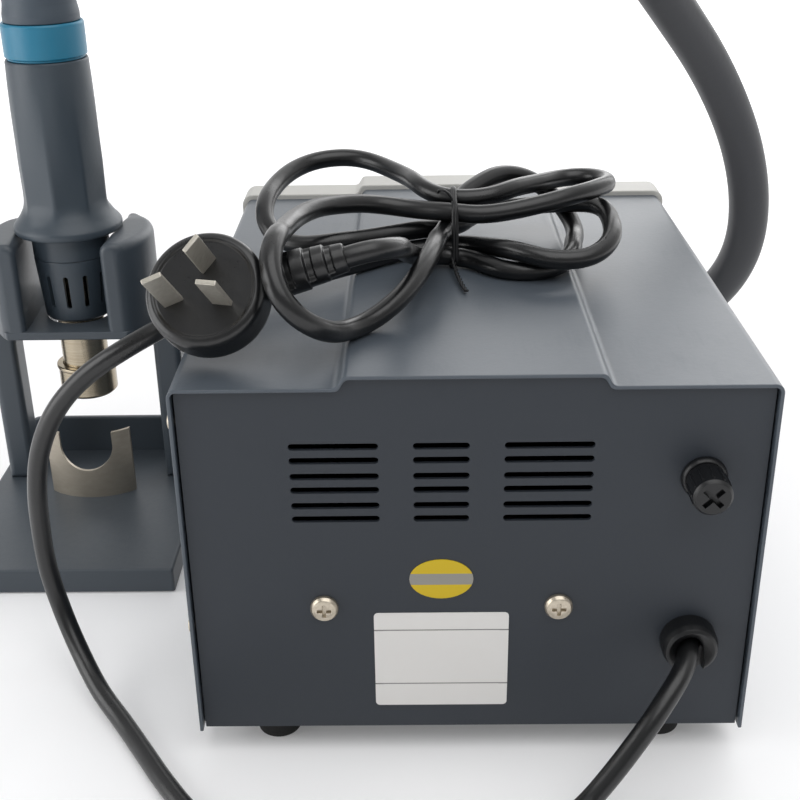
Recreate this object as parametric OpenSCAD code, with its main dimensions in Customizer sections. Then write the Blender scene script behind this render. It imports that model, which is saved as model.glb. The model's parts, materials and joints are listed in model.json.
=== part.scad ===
// Hot air rework station: sheet metal case with a blower, a heater handle
// resting in its stand, the air hose between them and the mains lead on top.
// X runs across the case, +Y points to its rear, the table is at Z = 0.

/* [Case] */
// Width of the sheet metal cover
body_w = 188; // [180:1:210]
// Depth of the cover from its rear edge to the front bezel
cover_depth = 209; // [205:1:240]
// Height of the cover's side corners above the table
side_top = 141; // [138:1:160]
// Height of the cover's lower edge above the table
cover_low = 10.5; // [9:0.5:14]
// Thickness of the cover and the base pan
sheet = 1.2; // [0.8:0.1:2]
// Outer radius of the folded corners
corner_r = 3; // [2:0.5:6]
// Width of the raised field along the top
plateau_w = 80; // [60:1:110]
// Height of the raised field above the cover
plateau_rise = 4; // [2:0.5:6]
// Sideways run of the raised field's slopes
plateau_run = 2.2; // [1:0.1:4]
// Depth of the front bezel
bezel_depth = 22; // [18:1:28]
// How far the bezel stands proud of the cover
bezel_proud = 2; // [1:0.5:4]
// Wall of the bezel
bezel_wall = 2; // [1.5:0.1:3]
// Diameter of the rubber feet
foot_d = 16; // [12:1:20]
// Distance of a foot's centre from the case's side
foot_side = 26; // [20:1:40]
// Distance of a foot's centre from the front or rear edge
foot_end = 16; // [14:1:40]

/* [Rear panel] */
// How far the rear panel is set in
rear_inset = 2; // [1:0.5:4]
// Thickness of the rear and front panels' plates
rear_plate = 1.5; // [1:0.1:2.5]
// Middle of the vents, the label and the screws
rear_mid = 10; // [4:1:16]
// Height of the uppermost vent row
vent_top = 120.2; // [112:0.1:124]
// Length of the outer vent slots
vent_long = 28.2; // [20:0.1:30]
// Length of the middle vent slots
vent_short = 17.8; // [12:0.1:22]
// Bridge between the vent groups
vent_bridge = 10.8; // [8:0.1:14]
// Height of one vent slot
vent_h = 2.3; // [1.6:0.1:3]
// Step between the two rows of a pair
vent_pitch = 4.9; // [4:0.1:5.5]
// Step from one pair of rows to the next
pair_pitch = 10.55; // [9.5:0.05:11]
// Distance between the two panel screws
screw_span = 77.6; // [70:0.1:86]
// Height of the two panel screws
screw_z = 60.4; // [50:0.1:66]
// Diameter of a panel screw's head
screw_head_d = 9.3; // [7:0.1:10]
// Width of the rating label
label_w = 45; // [30:1:50]
// Height of the rating label
label_h = 38; // [25:1:40]
// Lower edge of the rating label
label_low = 20; // [17:1:26]
// Width of the oval sticker
oval_w = 21; // [15:1:24]
// Height of the oval sticker
oval_h = 15; // [10:1:16]
// Height of the oval sticker's centre
oval_z = 71.3; // [68:0.1:78]
// Fuse holder and cord bushing, distance from the case's middle
side_fittings_x = 72.5; // [66:0.5:76]
// Height of the fuse holder
fuse_z = 108.5; // [95:0.5:118]
// Diameter of the fuse cap
fuse_cap_d = 12.5; // [10:0.1:16]
// How far the fuse cap stands out behind the cover's edge
fuse_reach = 12; // [9:0.5:15]
// Height of the cord bushing
gland_z = 47; // [38:0.5:60]
// Diameter of the cord bushing
gland_d = 18.6; // [16:0.1:24]
// How far the bushing stands out behind the cover's edge
gland_reach = 6; // [4:0.5:9]

/* [Front panel] */
// Thickness of the front panel
panel_t = 2.5; // [2:0.1:3]
// How deep the front panel lies behind the bezel's front edge
panel_set = 3; // [2:0.5:5]
// Width of the display window
window_w = 82; // [60:1:90]
// Height of the display window
window_h = 38; // [28:1:40]
// Display window's middle, across
window_x = -24; // [-30:1:-20]
// Display window's middle, height
window_z = 107; // [100:1:112]
// Width of a channel key
key_w = 18; // [14:0.5:20]
// Height of a channel key
key_h = 9; // [7:0.5:12]
// Step between the channel keys
key_pitch = 28; // [24:1:32]
// Height of the channel keys
key_z = 72; // [68:0.5:76]
// Diameter of an arrow key
arrow_d = 14; // [11:0.5:16]
// Step between the two columns of arrow keys
arrow_pitch = 24; // [20:0.5:26]
// Distance between the up and the down key
arrow_rise = 20; // [18:0.5:24]
// How far a key stands out
key_proud = 2.2; // [1.4:0.1:3]
// Travel of a key
key_travel = 1; // [0.6:0.1:1.2]
// Power switch, distance from the case's middle
switch_x = 62; // [56:1:66]
// Power switch, height
switch_z = 38; // [34:1:44]
// Height of the power switch's frame
switch_h = 24.5; // [22:0.5:28]
// Width of the power switch's frame
switch_w = 17; // [15:0.5:20]
// Tilt of the rocker to either side
rocker_tilt = 10; // [6:1:12]
// Hose socket, distance from the case's middle
socket_x = -30; // [-40:1:-20]
// Height of the hose socket and the blower's outlet
socket_z = 42; // [40:1:46]
// How far the hose socket reaches in front of the bezel
socket_reach = 19; // [14:1:24]

/* [Blower] */
// Radius of the blower wheel
wheel_r = 40; // [34:1:42]
// Height of the wheel's blades
blade_h = 24; // [18:1:26]
// Number of blades
blade_count = 24; // [16:1:30]
// Thickness of a blade
blade_t = 1.2; // [0.8:0.1:1.6]
// Gap between the wheel and the scroll's tongue
scroll_gap = 3; // [2:0.5:4]
// How much the scroll opens up round the wheel
scroll_growth = 7; // [5:1:8]
// Wall of the scroll
scroll_wall = 2; // [1.5:0.1:2.5]
// Width of the blower's outlet
outlet_w = 32; // [28:1:34]
// Diameter of the blower motor
motor_d = 36; // [28:1:44]
// Length of the blower motor
motor_len = 26; // [20:1:32]

/* [Electronics] */
// Thickness of the circuit boards
board_t = 1.6; // [1.2:0.1:2]
// Depth of the power board
power_board_d = 140; // [120:1:150]
// Number of heat sink fins
fin_count = 8; // [5:1:10]
// Height of the heat sink
sink_h = 42; // [30:1:55]
// Width of the transformer's core
core_w = 57; // [48:1:60]
// Height of the transformer's core
core_h = 48; // [40:1:56]
// Stack of the transformer's core
core_d = 26; // [20:1:32]
// Length of the glass fuse
fuse_len = 20; // [15:1:22]
// Diameter of the glass fuse
fuse_d = 5.2; // [4:0.1:6]

/* [Stand] */
// Stand's middle, distance from the case's middle
stand_x = 170; // [160:1:190]
// Width of the stand's base
base_w = 98; // [90:1:120]
// Depth of the stand's base
base_d = 115; // [105:1:130]
// Rear edge of the base in front of the cover's rear edge
base_rear = 101; // [90:1:110]
// Thickness of the base without its pads
base_t = 10; // [8:0.5:14]
// Thickness of the rubber pads
pad_t = 1.5; // [1:0.1:3]
// Height of the base's front lip above the table
lip_top = 30; // [24:1:40]
// Clear width between the two posts
post_gap = 63.2; // [58:0.1:70]
// Width of a post
post_w = 12.4; // [10:0.1:16]
// Depth of a post
post_d = 14; // [10:0.5:18]
// Height of the posts' tops above the table
post_top = 92.4; // [86:0.1:100]
// Thickness of the cradle's floor
cradle_floor = 3.8; // [3:0.1:5]
// Height of the cradle's cheeks above the table
cheek_top = 135.8; // [128:0.1:140]
// Outer radius of the cradle
cradle_r = 36.5; // [32:0.5:40]
// Half the channel's width at the rear
channel_rear = 18; // [17.5:0.1:19]
// Half the channel's width at the front
channel_front = 20.5; // [19:0.1:21.5]
// Half the width of the slot in the cradle's floor
slot_half = 14; // [13.7:0.1:17]
// Outer radius of the curved nozzle rest
rest_r = 30.4; // [28:0.1:34]
// Thickness of the nozzle rest
rest_t = 1.5; // [1:0.1:2]
// Width of the nozzle rest
rest_w = 39; // [34:1:46]
// Height of the nozzle rest above the base
rest_h = 32.5; // [28:0.5:38]
// Width of the cut-out in the nozzle rest
rest_cut = 24; // [18:0.5:28]
// Height of the cut-out's lower end above the base
rest_cut_low = 14; // [10:0.5:20]

/* [Handle] */
// Handle's axis in front of the cover's rear edge
handle_y = 185; // [180:1:190]
// Radius of the grip at its lower end
grip_low_r = 17.6; // [17:0.1:18]
// Radius of the grip at its widest
grip_mid_r = 18.2; // [17.8:0.1:19]
// Radius of the grip at its upper end
grip_top_r = 17.1; // [16.5:0.1:17.6]
// Length of the grip above its flange
grip_len = 68.5; // [60:0.5:80]
// Radius of the flange that rests on the cradle
flange_r = 23.4; // [22:0.1:25]
// Thickness of the flange
flange_t = 5; // [3.5:0.1:7]
// Width of the coloured ring
ring_h = 15; // [10:0.5:18]
// Radius of the coloured ring
ring_r = 16.9; // [16.5:0.1:17.5]
// Length of the tail sleeve
tail_len = 37; // [30:0.5:45]
// Radius of the tail sleeve at the ring
tail_r = 15.6; // [15:0.1:16.4]
// Radius of the tail sleeve at the hose
tail_end_r = 12.9; // [12.6:0.1:14]
// Radius of the vented collar at its upper end
collar_r = 16.6; // [16.2:0.1:17]
// Radius of the vented collar at its lower end
collar_end_r = 14.7; // [14.4:0.1:15.4]
// Length of the vented collar
collar_len = 28; // [24:0.5:32]
// Number of slots in the collar
collar_slots = 12; // [8:1:14]
// Width of a slot in the collar
collar_slot_w = 2.2; // [1.6:0.1:2.6]
// Length of a slot in the collar
collar_slot_h = 15; // [10:0.5:17]
// Outer radius of the heater tube
tube_r = 10.4; // [10:0.1:10.8]
// Wall of the heater tube
tube_wall = 0.8; // [0.5:0.1:1]
// How far the heater tube reaches below the collar
tube_out = 36; // [30:0.5:42]
// Radius of the nozzle's sleeve
nozzle_r = 12.8; // [12:0.1:13.2]
// Height of the nozzle
nozzle_h = 15; // [12:0.5:20]
// Radius of the nozzle's outlet
outlet_r = 8.4; // [5:0.1:9]

/* [Cords] */
// Diameter of the air hose
hose_d = 21; // [19:0.5:22]
// Diameter of the mains lead
lead_d = 7; // [6:0.5:8]
// Radius of the round plug
plug_r = 19.3; // [17:0.1:21]
// Thickness of the plug's head
plug_t = 16; // [12:0.5:18]
// Length of a live or neutral blade
blade_len = 17; // [15:0.5:19]

/* [Hidden] */
$fn = 64;

// Clearances: parts that touch, parts that slide and parts that turn
seat_gap = 0.1;
slide_gap = 0.25;
turn_gap = 0.06;
rest_gap = 0.2;
// Overshoot of a cut past the face it opens
past = 1;

cover_grey = [0.47, 0.50, 0.54];
panel_grey = [0.24, 0.26, 0.28];
bezel_beige = [0.86, 0.85, 0.80];
rubber_black = [0.06, 0.06, 0.07];
plastic_black = [0.10, 0.10, 0.11];
steel_bright = [0.72, 0.72, 0.72];
handle_grey = [0.30, 0.34, 0.39];
ring_teal = [0.12, 0.50, 0.63];
board_green = [0.10, 0.36, 0.22];

half_w = body_w / 2;
front_y = -cover_depth - bezel_depth;
panel_face = front_y + panel_set;
panel_back = panel_face + panel_t;
rear_face = -rear_inset;
rear_back = rear_face - rear_plate;
floor_z = cover_low + 1.5;
floor_top = floor_z + sheet;
plateau_top = side_top + plateau_rise;
bezel_tongue = 8;
pan_front = -cover_depth + bezel_tongue + 0.5;
tongue_inner = -sheet - seat_gap - bezel_wall;
mid_y = -cover_depth / 2;

// The part stands on the middle of the floor that the case and the stand cover
centre_x = (stand_x + base_w / 2 - half_w - bezel_proud) / 2;
centre_y = (max(fuse_reach, gland_reach) + front_y - socket_reach) / 2;
module placed() {
    translate([-centre_x, -centre_y, 0]) children();
}

// Extrudes an outline drawn in X and Z from y0 forwards
module along_y(y0, len) {
    translate([0, y0, 0]) rotate([90, 0, 0]) linear_extrude(len) children();
}

// Round rod that runs forwards from y0
module rod_y(x, z, y0, len, r) {
    translate([x, y0, z]) rotate([90, 0, 0]) cylinder(h = len, r = r);
}

// Rectangle with rounded corners about its middle
module round_rect(w, h, r) {
    square([w - 2 * r, h], center = true);
    square([w, h - 2 * r], center = true);
    for (sx = [-1, 1]) for (sy = [-1, 1])
        translate([sx * (w / 2 - r), sy * (h / 2 - r)]) circle(r);
}

// Slot with round ends about its middle
module slot_2d(w, h) {
    square([w - h, h], center = true);
    for (sx = [-1, 1]) translate([sx * (w - h) / 2, 0]) circle(h / 2);
}

// Skin over a list of rings with equal numbers of points; closed joins the last to the first
module skin(rings, closed = false) {
    n = len(rings[0]);
    m = len(rings);
    last = closed ? m - 1 : m - 2;
    sides = [for (i = [0 : last]) for (j = [0 : n - 1]) for (k = [0, 1])
        let (a = i * n + j, b = i * n + (j + 1) % n,
             c = ((i + 1) % m) * n + (j + 1) % n, d = ((i + 1) % m) * n + j)
        k == 0 ? [a, b, c] : [a, c, d]];
    caps = closed ? [] : [[for (j = [n - 1 : -1 : 0]) j], [for (j = [0 : n - 1]) (m - 1) * n + j]];
    polyhedron(points = [for (ring = rings) for (p = ring) p], faces = concat(sides, caps));
}

// Unit vector, and the tangent of a route at point i
function unit(v) = v / norm(v);
function tangent(route, i) =
    unit(route[min(i + 1, len(route) - 1)] - route[max(i - 1, 0)]);
// Carries a side vector along the route without twisting it
function carried(route, i) =
    i == 0 ? let (t = tangent(route, 0), a = abs(t[2]) < 0.8 ? [0, 0, 1] : [1, 0, 0]) unit(cross(t, a))
    : let (t = tangent(route, i), s = carried(route, i - 1)) unit(s - (s * t) * t);
function tube_ring(route, i, r, sides) =
    let (t = tangent(route, i), s = carried(route, i), u = cross(t, s))
    [for (k = [0 : sides - 1]) route[i] + r * cos(360 * k / sides) * s + r * sin(360 * k / sides) * u];
module tube(route, r, sides) {
    skin([for (i = [len(route) - 1 : -1 : 0]) tube_ring(route, i, r, sides)]);
}

// Cross-section of the case, grown by g on every side, with four round corners
function case_r(g) = max(corner_r + g, 0.8);
function slope_shift(g) = 0.6 * g;
module case_2d(g) {
    r = case_r(g);
    w = body_w + 2 * g;
    h = side_top - cover_low + 2 * g;
    translate([0, (side_top + cover_low) / 2]) round_rect(w, h, r);
    polygon(plateau_points(g, 2));
}
function plateau_points(g, depth) =
    let (foot = plateau_w / 2 + plateau_run + slope_shift(g), top = plateau_w / 2 + slope_shift(g))
    [[-foot, side_top + g - depth], [foot, side_top + g - depth], [foot, side_top + g],
     [top, plateau_top + g], [-top, plateau_top + g], [-foot, side_top + g]];

// The same section with square lower corners at height low
module folded_2d(g, low) {
    case_2d(g);
    translate([-half_w - g, low]) square([body_w + 2 * g, side_top / 2 - low]);
}

// Points of the case's section in order, for the lofted bezel
function corner_arc(x, z, r, start) =
    [for (k = [0 : 5]) [x + r * cos(start + 18 * k), z + r * sin(start + 18 * k)]];
function case_points(g) =
    let (r = case_r(g), x = half_w + g - r, low = cover_low - g + r, high = side_top + g - r,
         p = plateau_points(g, 0))
    concat(corner_arc(x, low, r, -90), corner_arc(x, high, r, 0), [p[2], p[3], p[4], p[5]],
           corner_arc(-x, high, r, 90), corner_arc(-x, low, r, 180));

// Top and sides of the case, one folded sheet
module cover() color(cover_grey) placed() difference() {
    along_y(0, cover_depth) folded_2d(0, cover_low);
    along_y(past, cover_depth + 2 * past) folded_2d(-sheet, cover_low - past);
    side_screw_places() rotate([0, 90, 0])
        cylinder(h = 4 * sheet, r = side_screw_r + seat_gap, center = true);
}

// Floor of the case, with side flanges, two tabs for the panel screws and board posts
pan_wall = 16;
tab_w = 18;
tab_top = screw_z + 8;
foot_hole_r = 2.2;
module base_pan() color(panel_grey) placed() difference() {
    union() {
        pan_in = half_w - sheet - seat_gap;
        back = rear_back - seat_gap;
        translate([-pan_in, pan_front, floor_z]) cube([2 * pan_in, back - pan_front, sheet]);
        for (sx = [-1, 1]) translate([sx * (pan_in - sheet / 2) - sheet / 2, pan_front, floor_z])
            cube([sheet, back - pan_front, pan_wall]);
        for (x = panel_screw_xs) translate([x - tab_w / 2, back - sheet, floor_z])
            cube([tab_w, sheet, tab_top - floor_z]);
        for (p = power_posts) translate([p[0], p[1], floor_z]) cylinder(h = post_h + sheet, r = 3);
    }
    for (p = foot_places) translate([p[0], p[1], floor_z - past]) cylinder(h = 4, r = foot_hole_r);
    for (x = panel_screw_xs) rod_y(x, screw_z, 0, 8, panel_screw_r + turn_gap);
    for (p = power_posts) translate([p[0], p[1], floor_z - past]) cylinder(h = post_h + 4, r = 1.3);
    side_screw_places() rotate([0, 90, 0]) cylinder(h = 12, r = side_screw_r + turn_gap, center = true);
}

// Rear panel with its vents, set into the cover
panel_screw_r = 1.9;
panel_screw_xs = [rear_mid - screw_span / 2, rear_mid + screw_span / 2];
vent_group_x = (vent_short + vent_long) / 2 + vent_bridge;
vent_rows = [for (pair = [0 : 2]) for (row = [0, 1]) vent_top - pair * pair_pitch - row * vent_pitch];
fuse_hole_r = 6.2;
gland_neck_r = 7;
ear_d = 14;
ear_low = floor_z + pan_wall + 2;
module rear_panel() color(panel_grey) placed() difference() {
    g = -sheet - seat_gap;
    union() {
        along_y(rear_face, rear_plate) intersection() {
            folded_2d(g, floor_z - 1.2);
            translate([-half_w, floor_z - 1.2]) square([body_w, plateau_top]);
        }
        for (sx = [-1, 1]) translate([sx * (half_w + g - sheet / 2) - sheet / 2, rear_face - ear_d, ear_low])
            cube([sheet, ear_d, side_top - corner_r - sheet - 2 - ear_low]);
    }
    for (z = vent_rows) {
        translate([rear_mid, 0, 0]) along_y(0, 2 * ear_d) translate([0, z]) slot_2d(vent_short, vent_h);
        for (sx = [-1, 1]) translate([rear_mid + sx * vent_group_x, 0, 0])
            along_y(0, 2 * ear_d) translate([0, z]) slot_2d(vent_long, vent_h);
    }
    for (x = panel_screw_xs) rod_y(x, screw_z, 0, 8, panel_screw_r + seat_gap);
    rod_y(-side_fittings_x, fuse_z, 0, 8, fuse_hole_r);
    rod_y(-side_fittings_x, gland_z, 0, 8, gland_neck_r);
    side_screw_places() rotate([0, 90, 0]) cylinder(h = 12, r = side_screw_r + turn_gap, center = true);
}

// Moulded frame round the front, its tongue inside the cover
module front_bezel() color(bezel_beige) placed() {
    inner = tongue_inner;
    tongue = inner + bezel_wall;
    lip = inner - 2.6;
    profile = [[-cover_depth + bezel_tongue, tongue], [-cover_depth, tongue], [-cover_depth, bezel_proud],
        [front_y + 5, bezel_proud], [front_y + 2, bezel_proud - 0.8], [front_y + 0.4, bezel_proud - 2.6],
        [front_y, bezel_proud - 5], [front_y, lip + 1], [front_y + 1.5, lip], [panel_face, lip],
        [panel_face, inner], [-cover_depth + bezel_tongue, inner]];
    skin([for (p = profile) [for (q = case_points(p[1])) [q[0], p[0], q[1]]]], closed = true);
}

// Flat front panel behind the bezel's lip
key_fit = slide_gap;
arrow_x = [switch_x + 4 - arrow_pitch, switch_x + 4];
arrow_z = window_z - 5;
channel_xs = [for (k = [-1 : 1]) window_x + 2 + k * key_pitch];
module front_panel() color([0.80, 0.79, 0.74]) placed() difference() {
    along_y(panel_back, panel_t) case_2d(tongue_inner - rest_gap);
    front_cut() round_rect(window_w - 6, window_h - 6, 1);
    for (x = channel_xs) along_y(panel_back + past, panel_t + 2 * past) translate([x, key_z])
        round_rect(key_w + 2 * key_fit, key_h + 2 * key_fit, 2);
    for (x = arrow_x) for (s = [-1, 1])
        rod_y(x, arrow_z + s * arrow_rise / 2, panel_back + past, panel_t + 2 * past, arrow_d / 2 + key_fit);
    along_y(panel_back + past, panel_t + 2 * past) translate([switch_x, switch_z])
        square([switch_w - 3, switch_h - 3], center = true);
    rod_y(socket_x, socket_z, panel_back + past, panel_t + 2 * past, spigot_r + seat_gap);
}
module front_cut() {
    along_y(panel_back + past, panel_t + 2 * past) translate([window_x, window_z]) children();
}

window_t = 1.4;
module display_window() color([0.22, 0.05, 0.06]) placed() {
    along_y(panel_face, window_t) translate([window_x, window_z]) round_rect(window_w, window_h, 3);
}

// Control board behind the front panel, and what stands on it
board_gap = 10;
control_front = panel_back + board_gap;
control_low = 61;
control_high = side_top - 10;
control_left = window_x - window_w / 2 - 8;
control_right = switch_x + 4 + arrow_d;
control_posts = [for (x = [control_left + 5, control_right - 5])
    for (z = [control_low + 4, control_high - 3]) [x, z]];
module control_board() color(board_green) placed() difference() {
    along_y(control_front + board_t, board_t)
        translate([control_left, control_low])
        square([control_right - control_left, control_high - control_low]);
    for (p = control_posts) rod_y(p[0], p[1], control_front + board_t + past, board_t + 2 * past, 1.6);
}

module board_pillars() color(steel_bright) placed() {
    for (p = control_posts) {
        rod_y(p[0], p[1], control_front, board_gap, 3);
        rod_y(p[0], p[1], control_front + board_t + 2, board_t + 2, 1.5);
        rod_y(p[0], p[1], control_front + board_t + 2, 2, 2.8);
    }
}

// Display: a block on the board with two groups of three digits on its face
display_rim = 4;
display_t = 5;
digit_w = 12;
digit_h = 15;
digit_t = 3;
digit_gap = 1;
digit_group = 18.5;
module display_module() color([0.08, 0.08, 0.09]) placed() {
    along_y(control_front, display_t) translate([window_x, window_z])
        square([window_w - 2 * display_rim, window_h - 2 * display_rim], center = true);
    for (col = [-1, 1]) for (k = [-1 : 1]) along_y(control_front - display_t, digit_t)
        translate([window_x + col * digit_group + k * digit_w, window_z])
        square([digit_w - digit_gap, digit_h], center = true);
}

tact_h = 3.5;
plunger_h = 1.2;
plunger_front = control_front - tact_h - plunger_h;
switch_places = concat([for (x = channel_xs) [x, key_z]],
    [for (x = arrow_x) for (s = [1, -1]) [x, arrow_z + s * arrow_rise / 2]]);
module key_switches() color(plastic_black) placed() {
    for (p = switch_places) {
        along_y(control_front, tact_h) translate(p) square(6, center = true);
        rod_y(p[0], p[1], control_front - tact_h, plunger_h, 1.75);
    }
}

// A key cap with the flange that holds it behind the panel and its stem
key_flange = 1;
stem_front = plunger_front - key_travel - 0.3;
module key_back(x, z) {
    rod_y(x, z, stem_front, stem_front - panel_back - seat_gap - key_flange, 2);
}
module channel_key(k) {
    x = channel_xs[k];
    along_y(panel_back + seat_gap, panel_t + key_proud + seat_gap) translate([x, key_z])
        round_rect(key_w, key_h, 1.8);
    along_y(panel_back + seat_gap + key_flange, key_flange) translate([x, key_z])
        round_rect(key_w + 2.4, key_h + 2.4, 2);
    key_back(x, key_z);
}
module arrow_key(x, side) {
    z = arrow_z + side * arrow_rise / 2;
    rod_y(x, z, panel_back + seat_gap, panel_t + key_proud + seat_gap, arrow_d / 2);
    rod_y(x, z, panel_back + seat_gap + key_flange, key_flange, arrow_d / 2 + 1.2);
    along_y(panel_face - key_proud, 0.5) translate([x, z]) rotate(side * 90) circle(r = arrow_d / 4, $fn = 3);
    key_back(x, z);
}
key_white = [0.85, 0.85, 0.82];
module channel_key_1() color(key_white) placed() channel_key(0);
module channel_key_2() color(key_white) placed() channel_key(1);
module channel_key_3() color(key_white) placed() channel_key(2);
module heat_up_key() color(key_white) placed() arrow_key(arrow_x[0], 1);
module heat_down_key() color(key_white) placed() arrow_key(arrow_x[0], -1);
module air_up_key() color(key_white) placed() arrow_key(arrow_x[1], 1);
module air_down_key() color(key_white) placed() arrow_key(arrow_x[1], -1);

// Power switch: frame, body with its well, and the rocker on two pins
well_half = 9.8;
well_w = 11.8;
rocker_w = 11.4;
rocker_half = 8.7;
pivot_y = panel_face + 2.6;
pin_r = 1.2;
module power_switch() color(plastic_black) placed() difference() {
    union() {
        along_y(panel_face, 1.6) translate([switch_x, switch_z]) round_rect(switch_w, switch_h, 1.5);
        along_y(panel_face + 14, 14.5) translate([switch_x, switch_z])
            square([switch_w - 3 - 2 * seat_gap, switch_h - 3 - 2 * seat_gap], center = true);
        for (s = [-1, 0, 1]) along_y(panel_face + 22, 9) translate([switch_x, switch_z + s * 6.5])
            square([4.8, 0.8], center = true);
    }
    along_y(pivot_y + 7, 20) translate([switch_x, switch_z]) square([well_w, 2 * well_half], center = true);
    translate([switch_x, pivot_y, switch_z]) rotate([0, 90, 0])
        cylinder(h = rocker_w + 1.8, r = pin_r + turn_gap, center = true);
}
module power_rocker() color([0.12, 0.12, 0.12]) placed()
    translate([switch_x, pivot_y, switch_z]) rotate([-rocker_tilt, 0, 0]) {
        rotate([90, 0, 90]) linear_extrude(rocker_w, center = true)
            polygon([[-4.2, -rocker_half], [-2.6, 0], [-4.2, rocker_half], [2.6, 7.4], [5, 0], [2.6, -7.4]]);
        rotate([0, 90, 0]) cylinder(h = rocker_w + 1.2, r = pin_r, center = true);
    }

// Socket of the hose: a collar in front of the panel and a spigot for the duct
hose_r = hose_d / 2;
hose_bore = hose_r + slide_gap;
spigot_r = 12;
socket_front = front_y - socket_reach;
hose_seat = 12;
module hose_socket() color(plastic_black) placed() translate([socket_x, socket_front, socket_z])
    rotate([-90, 0, 0]) rotate_extrude() {
        face = panel_face - socket_front;
        spigot_end = face + panel_t + 12;
        polygon([[hose_bore + 0.8, 0], [hose_bore + 3.2, 0], [hose_bore + 4.2, 1.2],
            [hose_bore + 4.2, face - 5], [hose_bore + 6, face - 3.5], [hose_bore + 6, face],
            [spigot_r, face], [spigot_r, spigot_end],
            [spigot_r - 2, spigot_end], [spigot_r - 2, hose_seat], [hose_bore, hose_seat], [hose_bore, 0.8]]);
    }

// Blower: a scroll round a wheel with backward curved blades, the motor on top
scroll_in = wheel_r + scroll_gap;
scroll_out = scroll_in + scroll_growth;
blower_x = socket_x + scroll_out - outlet_w / 2;
blower_y = front_y + 86;
scroll_h = blade_h + 9;
scroll_low = socket_z - scroll_h / 2;
scroll_top = socket_z + scroll_h / 2;
outlet_len = 54;
tongue_angle = 240;
function scroll_r(sweep, extra) = scroll_in + scroll_growth * sweep / 300 + extra;
module scroll_2d(extra) {
    polygon([for (sweep = [0 : 12 : 300])
        scroll_r(sweep, extra) * [cos(tongue_angle + sweep), sin(tongue_angle + sweep)]]);
    translate([-scroll_out - extra, -outlet_len]) square([outlet_w + 2 * extra, outlet_len + 6]);
}
inlet_r = 20;
shaft_r = 2;
module blower_housing() color([0.16, 0.16, 0.17]) placed() translate([blower_x, blower_y, 0]) {
    difference() {
        union() {
            translate([0, 0, scroll_low]) linear_extrude(scroll_h) scroll_2d(scroll_wall);
            for (a = [45, 135, 225, 315]) rotate(a) translate([scroll_in - 6, 0, floor_top])
                cylinder(h = scroll_low - floor_top + 1, r = 3.5);
        }
        translate([0, 0, scroll_low + scroll_wall]) linear_extrude(scroll_h - 2 * scroll_wall) scroll_2d(0);
        translate([-scroll_out, -outlet_len - past, scroll_low + scroll_wall])
            cube([outlet_w, 4, scroll_h - 2 * scroll_wall]);
        translate([0, 0, scroll_low - past]) cylinder(h = 2 * scroll_wall, r = inlet_r);
        translate([0, 0, scroll_top - 1.5 * scroll_wall]) cylinder(h = 2 * scroll_wall, r = shaft_r + 3);
    }
}

module blower_motor() color(steel_bright) placed() translate([blower_x, blower_y, scroll_top]) {
    rotate_extrude() polygon([[0, 0], [motor_d / 2 - 2, 0], [motor_d / 2 - 2, 3], [motor_d / 2, 3],
        [motor_d / 2, motor_len - 4], [motor_d / 2 - 3, motor_len], [6, motor_len], [6, motor_len + 2],
        [0, motor_len + 2]]);
    translate([0, 0, -blade_h - 5]) cylinder(h = blade_h + 5, r = shaft_r);
}

// Wheel: hub, back plate, shroud ring and blades along arcs
eye_r = 24;
hub_r = 7;
wheel_top = scroll_top - scroll_wall - 1.5;
back_plate = 1.5;
ring_plate = 1.2;
blade_tip_r = wheel_r - 1;
function blade_arc(side) = [for (k = [0 : 5])
    let (f = k / 5, r = eye_r + (blade_tip_r - eye_r) * f,
         a = 34 * f * (1.4 - 0.4 * f) + side * blade_t * 28.6 / r)
    r * [cos(a), sin(a)]];
function reversed(v) = [for (k = [len(v) - 1 : -1 : 0]) v[k]];
module impeller() color([0.75, 0.76, 0.78]) placed() translate([blower_x, blower_y, wheel_top - blade_h])
    difference() {
        union() {
            translate([0, 0, blade_h - back_plate]) cylinder(h = back_plate, r = wheel_r);
            translate([0, 0, 2]) cylinder(h = blade_h - 2 - back_plate / 2, r = hub_r);
            difference() {
                cylinder(h = ring_plate, r = wheel_r);
                translate([0, 0, -past]) cylinder(h = 4, r = eye_r + 1);
            }
            for (k = [0 : blade_count - 1]) rotate(360 * k / blade_count)
                translate([0, 0, ring_plate / 2]) linear_extrude(blade_h - (ring_plate + back_plate) / 2)
                polygon(concat(blade_arc(-1), reversed(blade_arc(1))));
        }
        translate([0, 0, -past]) cylinder(h = blade_h + 2 * past, r = shaft_r + turn_gap);
    }

// Duct from the blower's square outlet to the socket's round spigot
duct_wall = 1.8;
module air_duct() color([0.20, 0.20, 0.21]) placed() {
    outlet_front = blower_y - outlet_len;
    w = outlet_w + 2 * scroll_wall + 2 * seat_gap;
    h = scroll_h + 2 * seat_gap;
    difference() {
        union() {
            along_y(outlet_front + 8, 12) translate([socket_x, socket_z])
                square([w + 2 * duct_wall, h + 2 * duct_wall], center = true);
            rod_y(socket_x, socket_z, outlet_front - 3, outlet_front - 3 - panel_back - 1,
                spigot_r + duct_wall);
        }
        along_y(outlet_front + 8 + past, 10) translate([socket_x, socket_z]) square([w, h], center = true);
        rod_y(socket_x, socket_z, outlet_front, 40, spigot_r + seat_gap);
    }
}

// Power board on four posts in the room between the scroll and the cover's side
post_h = 8;
board_margin = 6;
sink_left = blower_x + scroll_r(120, scroll_wall) + 1;
power_board_left = sink_left - 4;
power_board_right = half_w - sheet - board_margin;
power_board_w = power_board_right - power_board_left;
power_board_x = power_board_left + power_board_w / 2;
power_board_y = mid_y - 8;
power_posts = [for (sx = [-1, 1]) for (sy = [-1, 1])
    [power_board_x + sx * (power_board_w / 2 - 5), power_board_y + sy * (power_board_d / 2 - 6)]];
board_top = floor_top + post_h + board_t;

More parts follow.
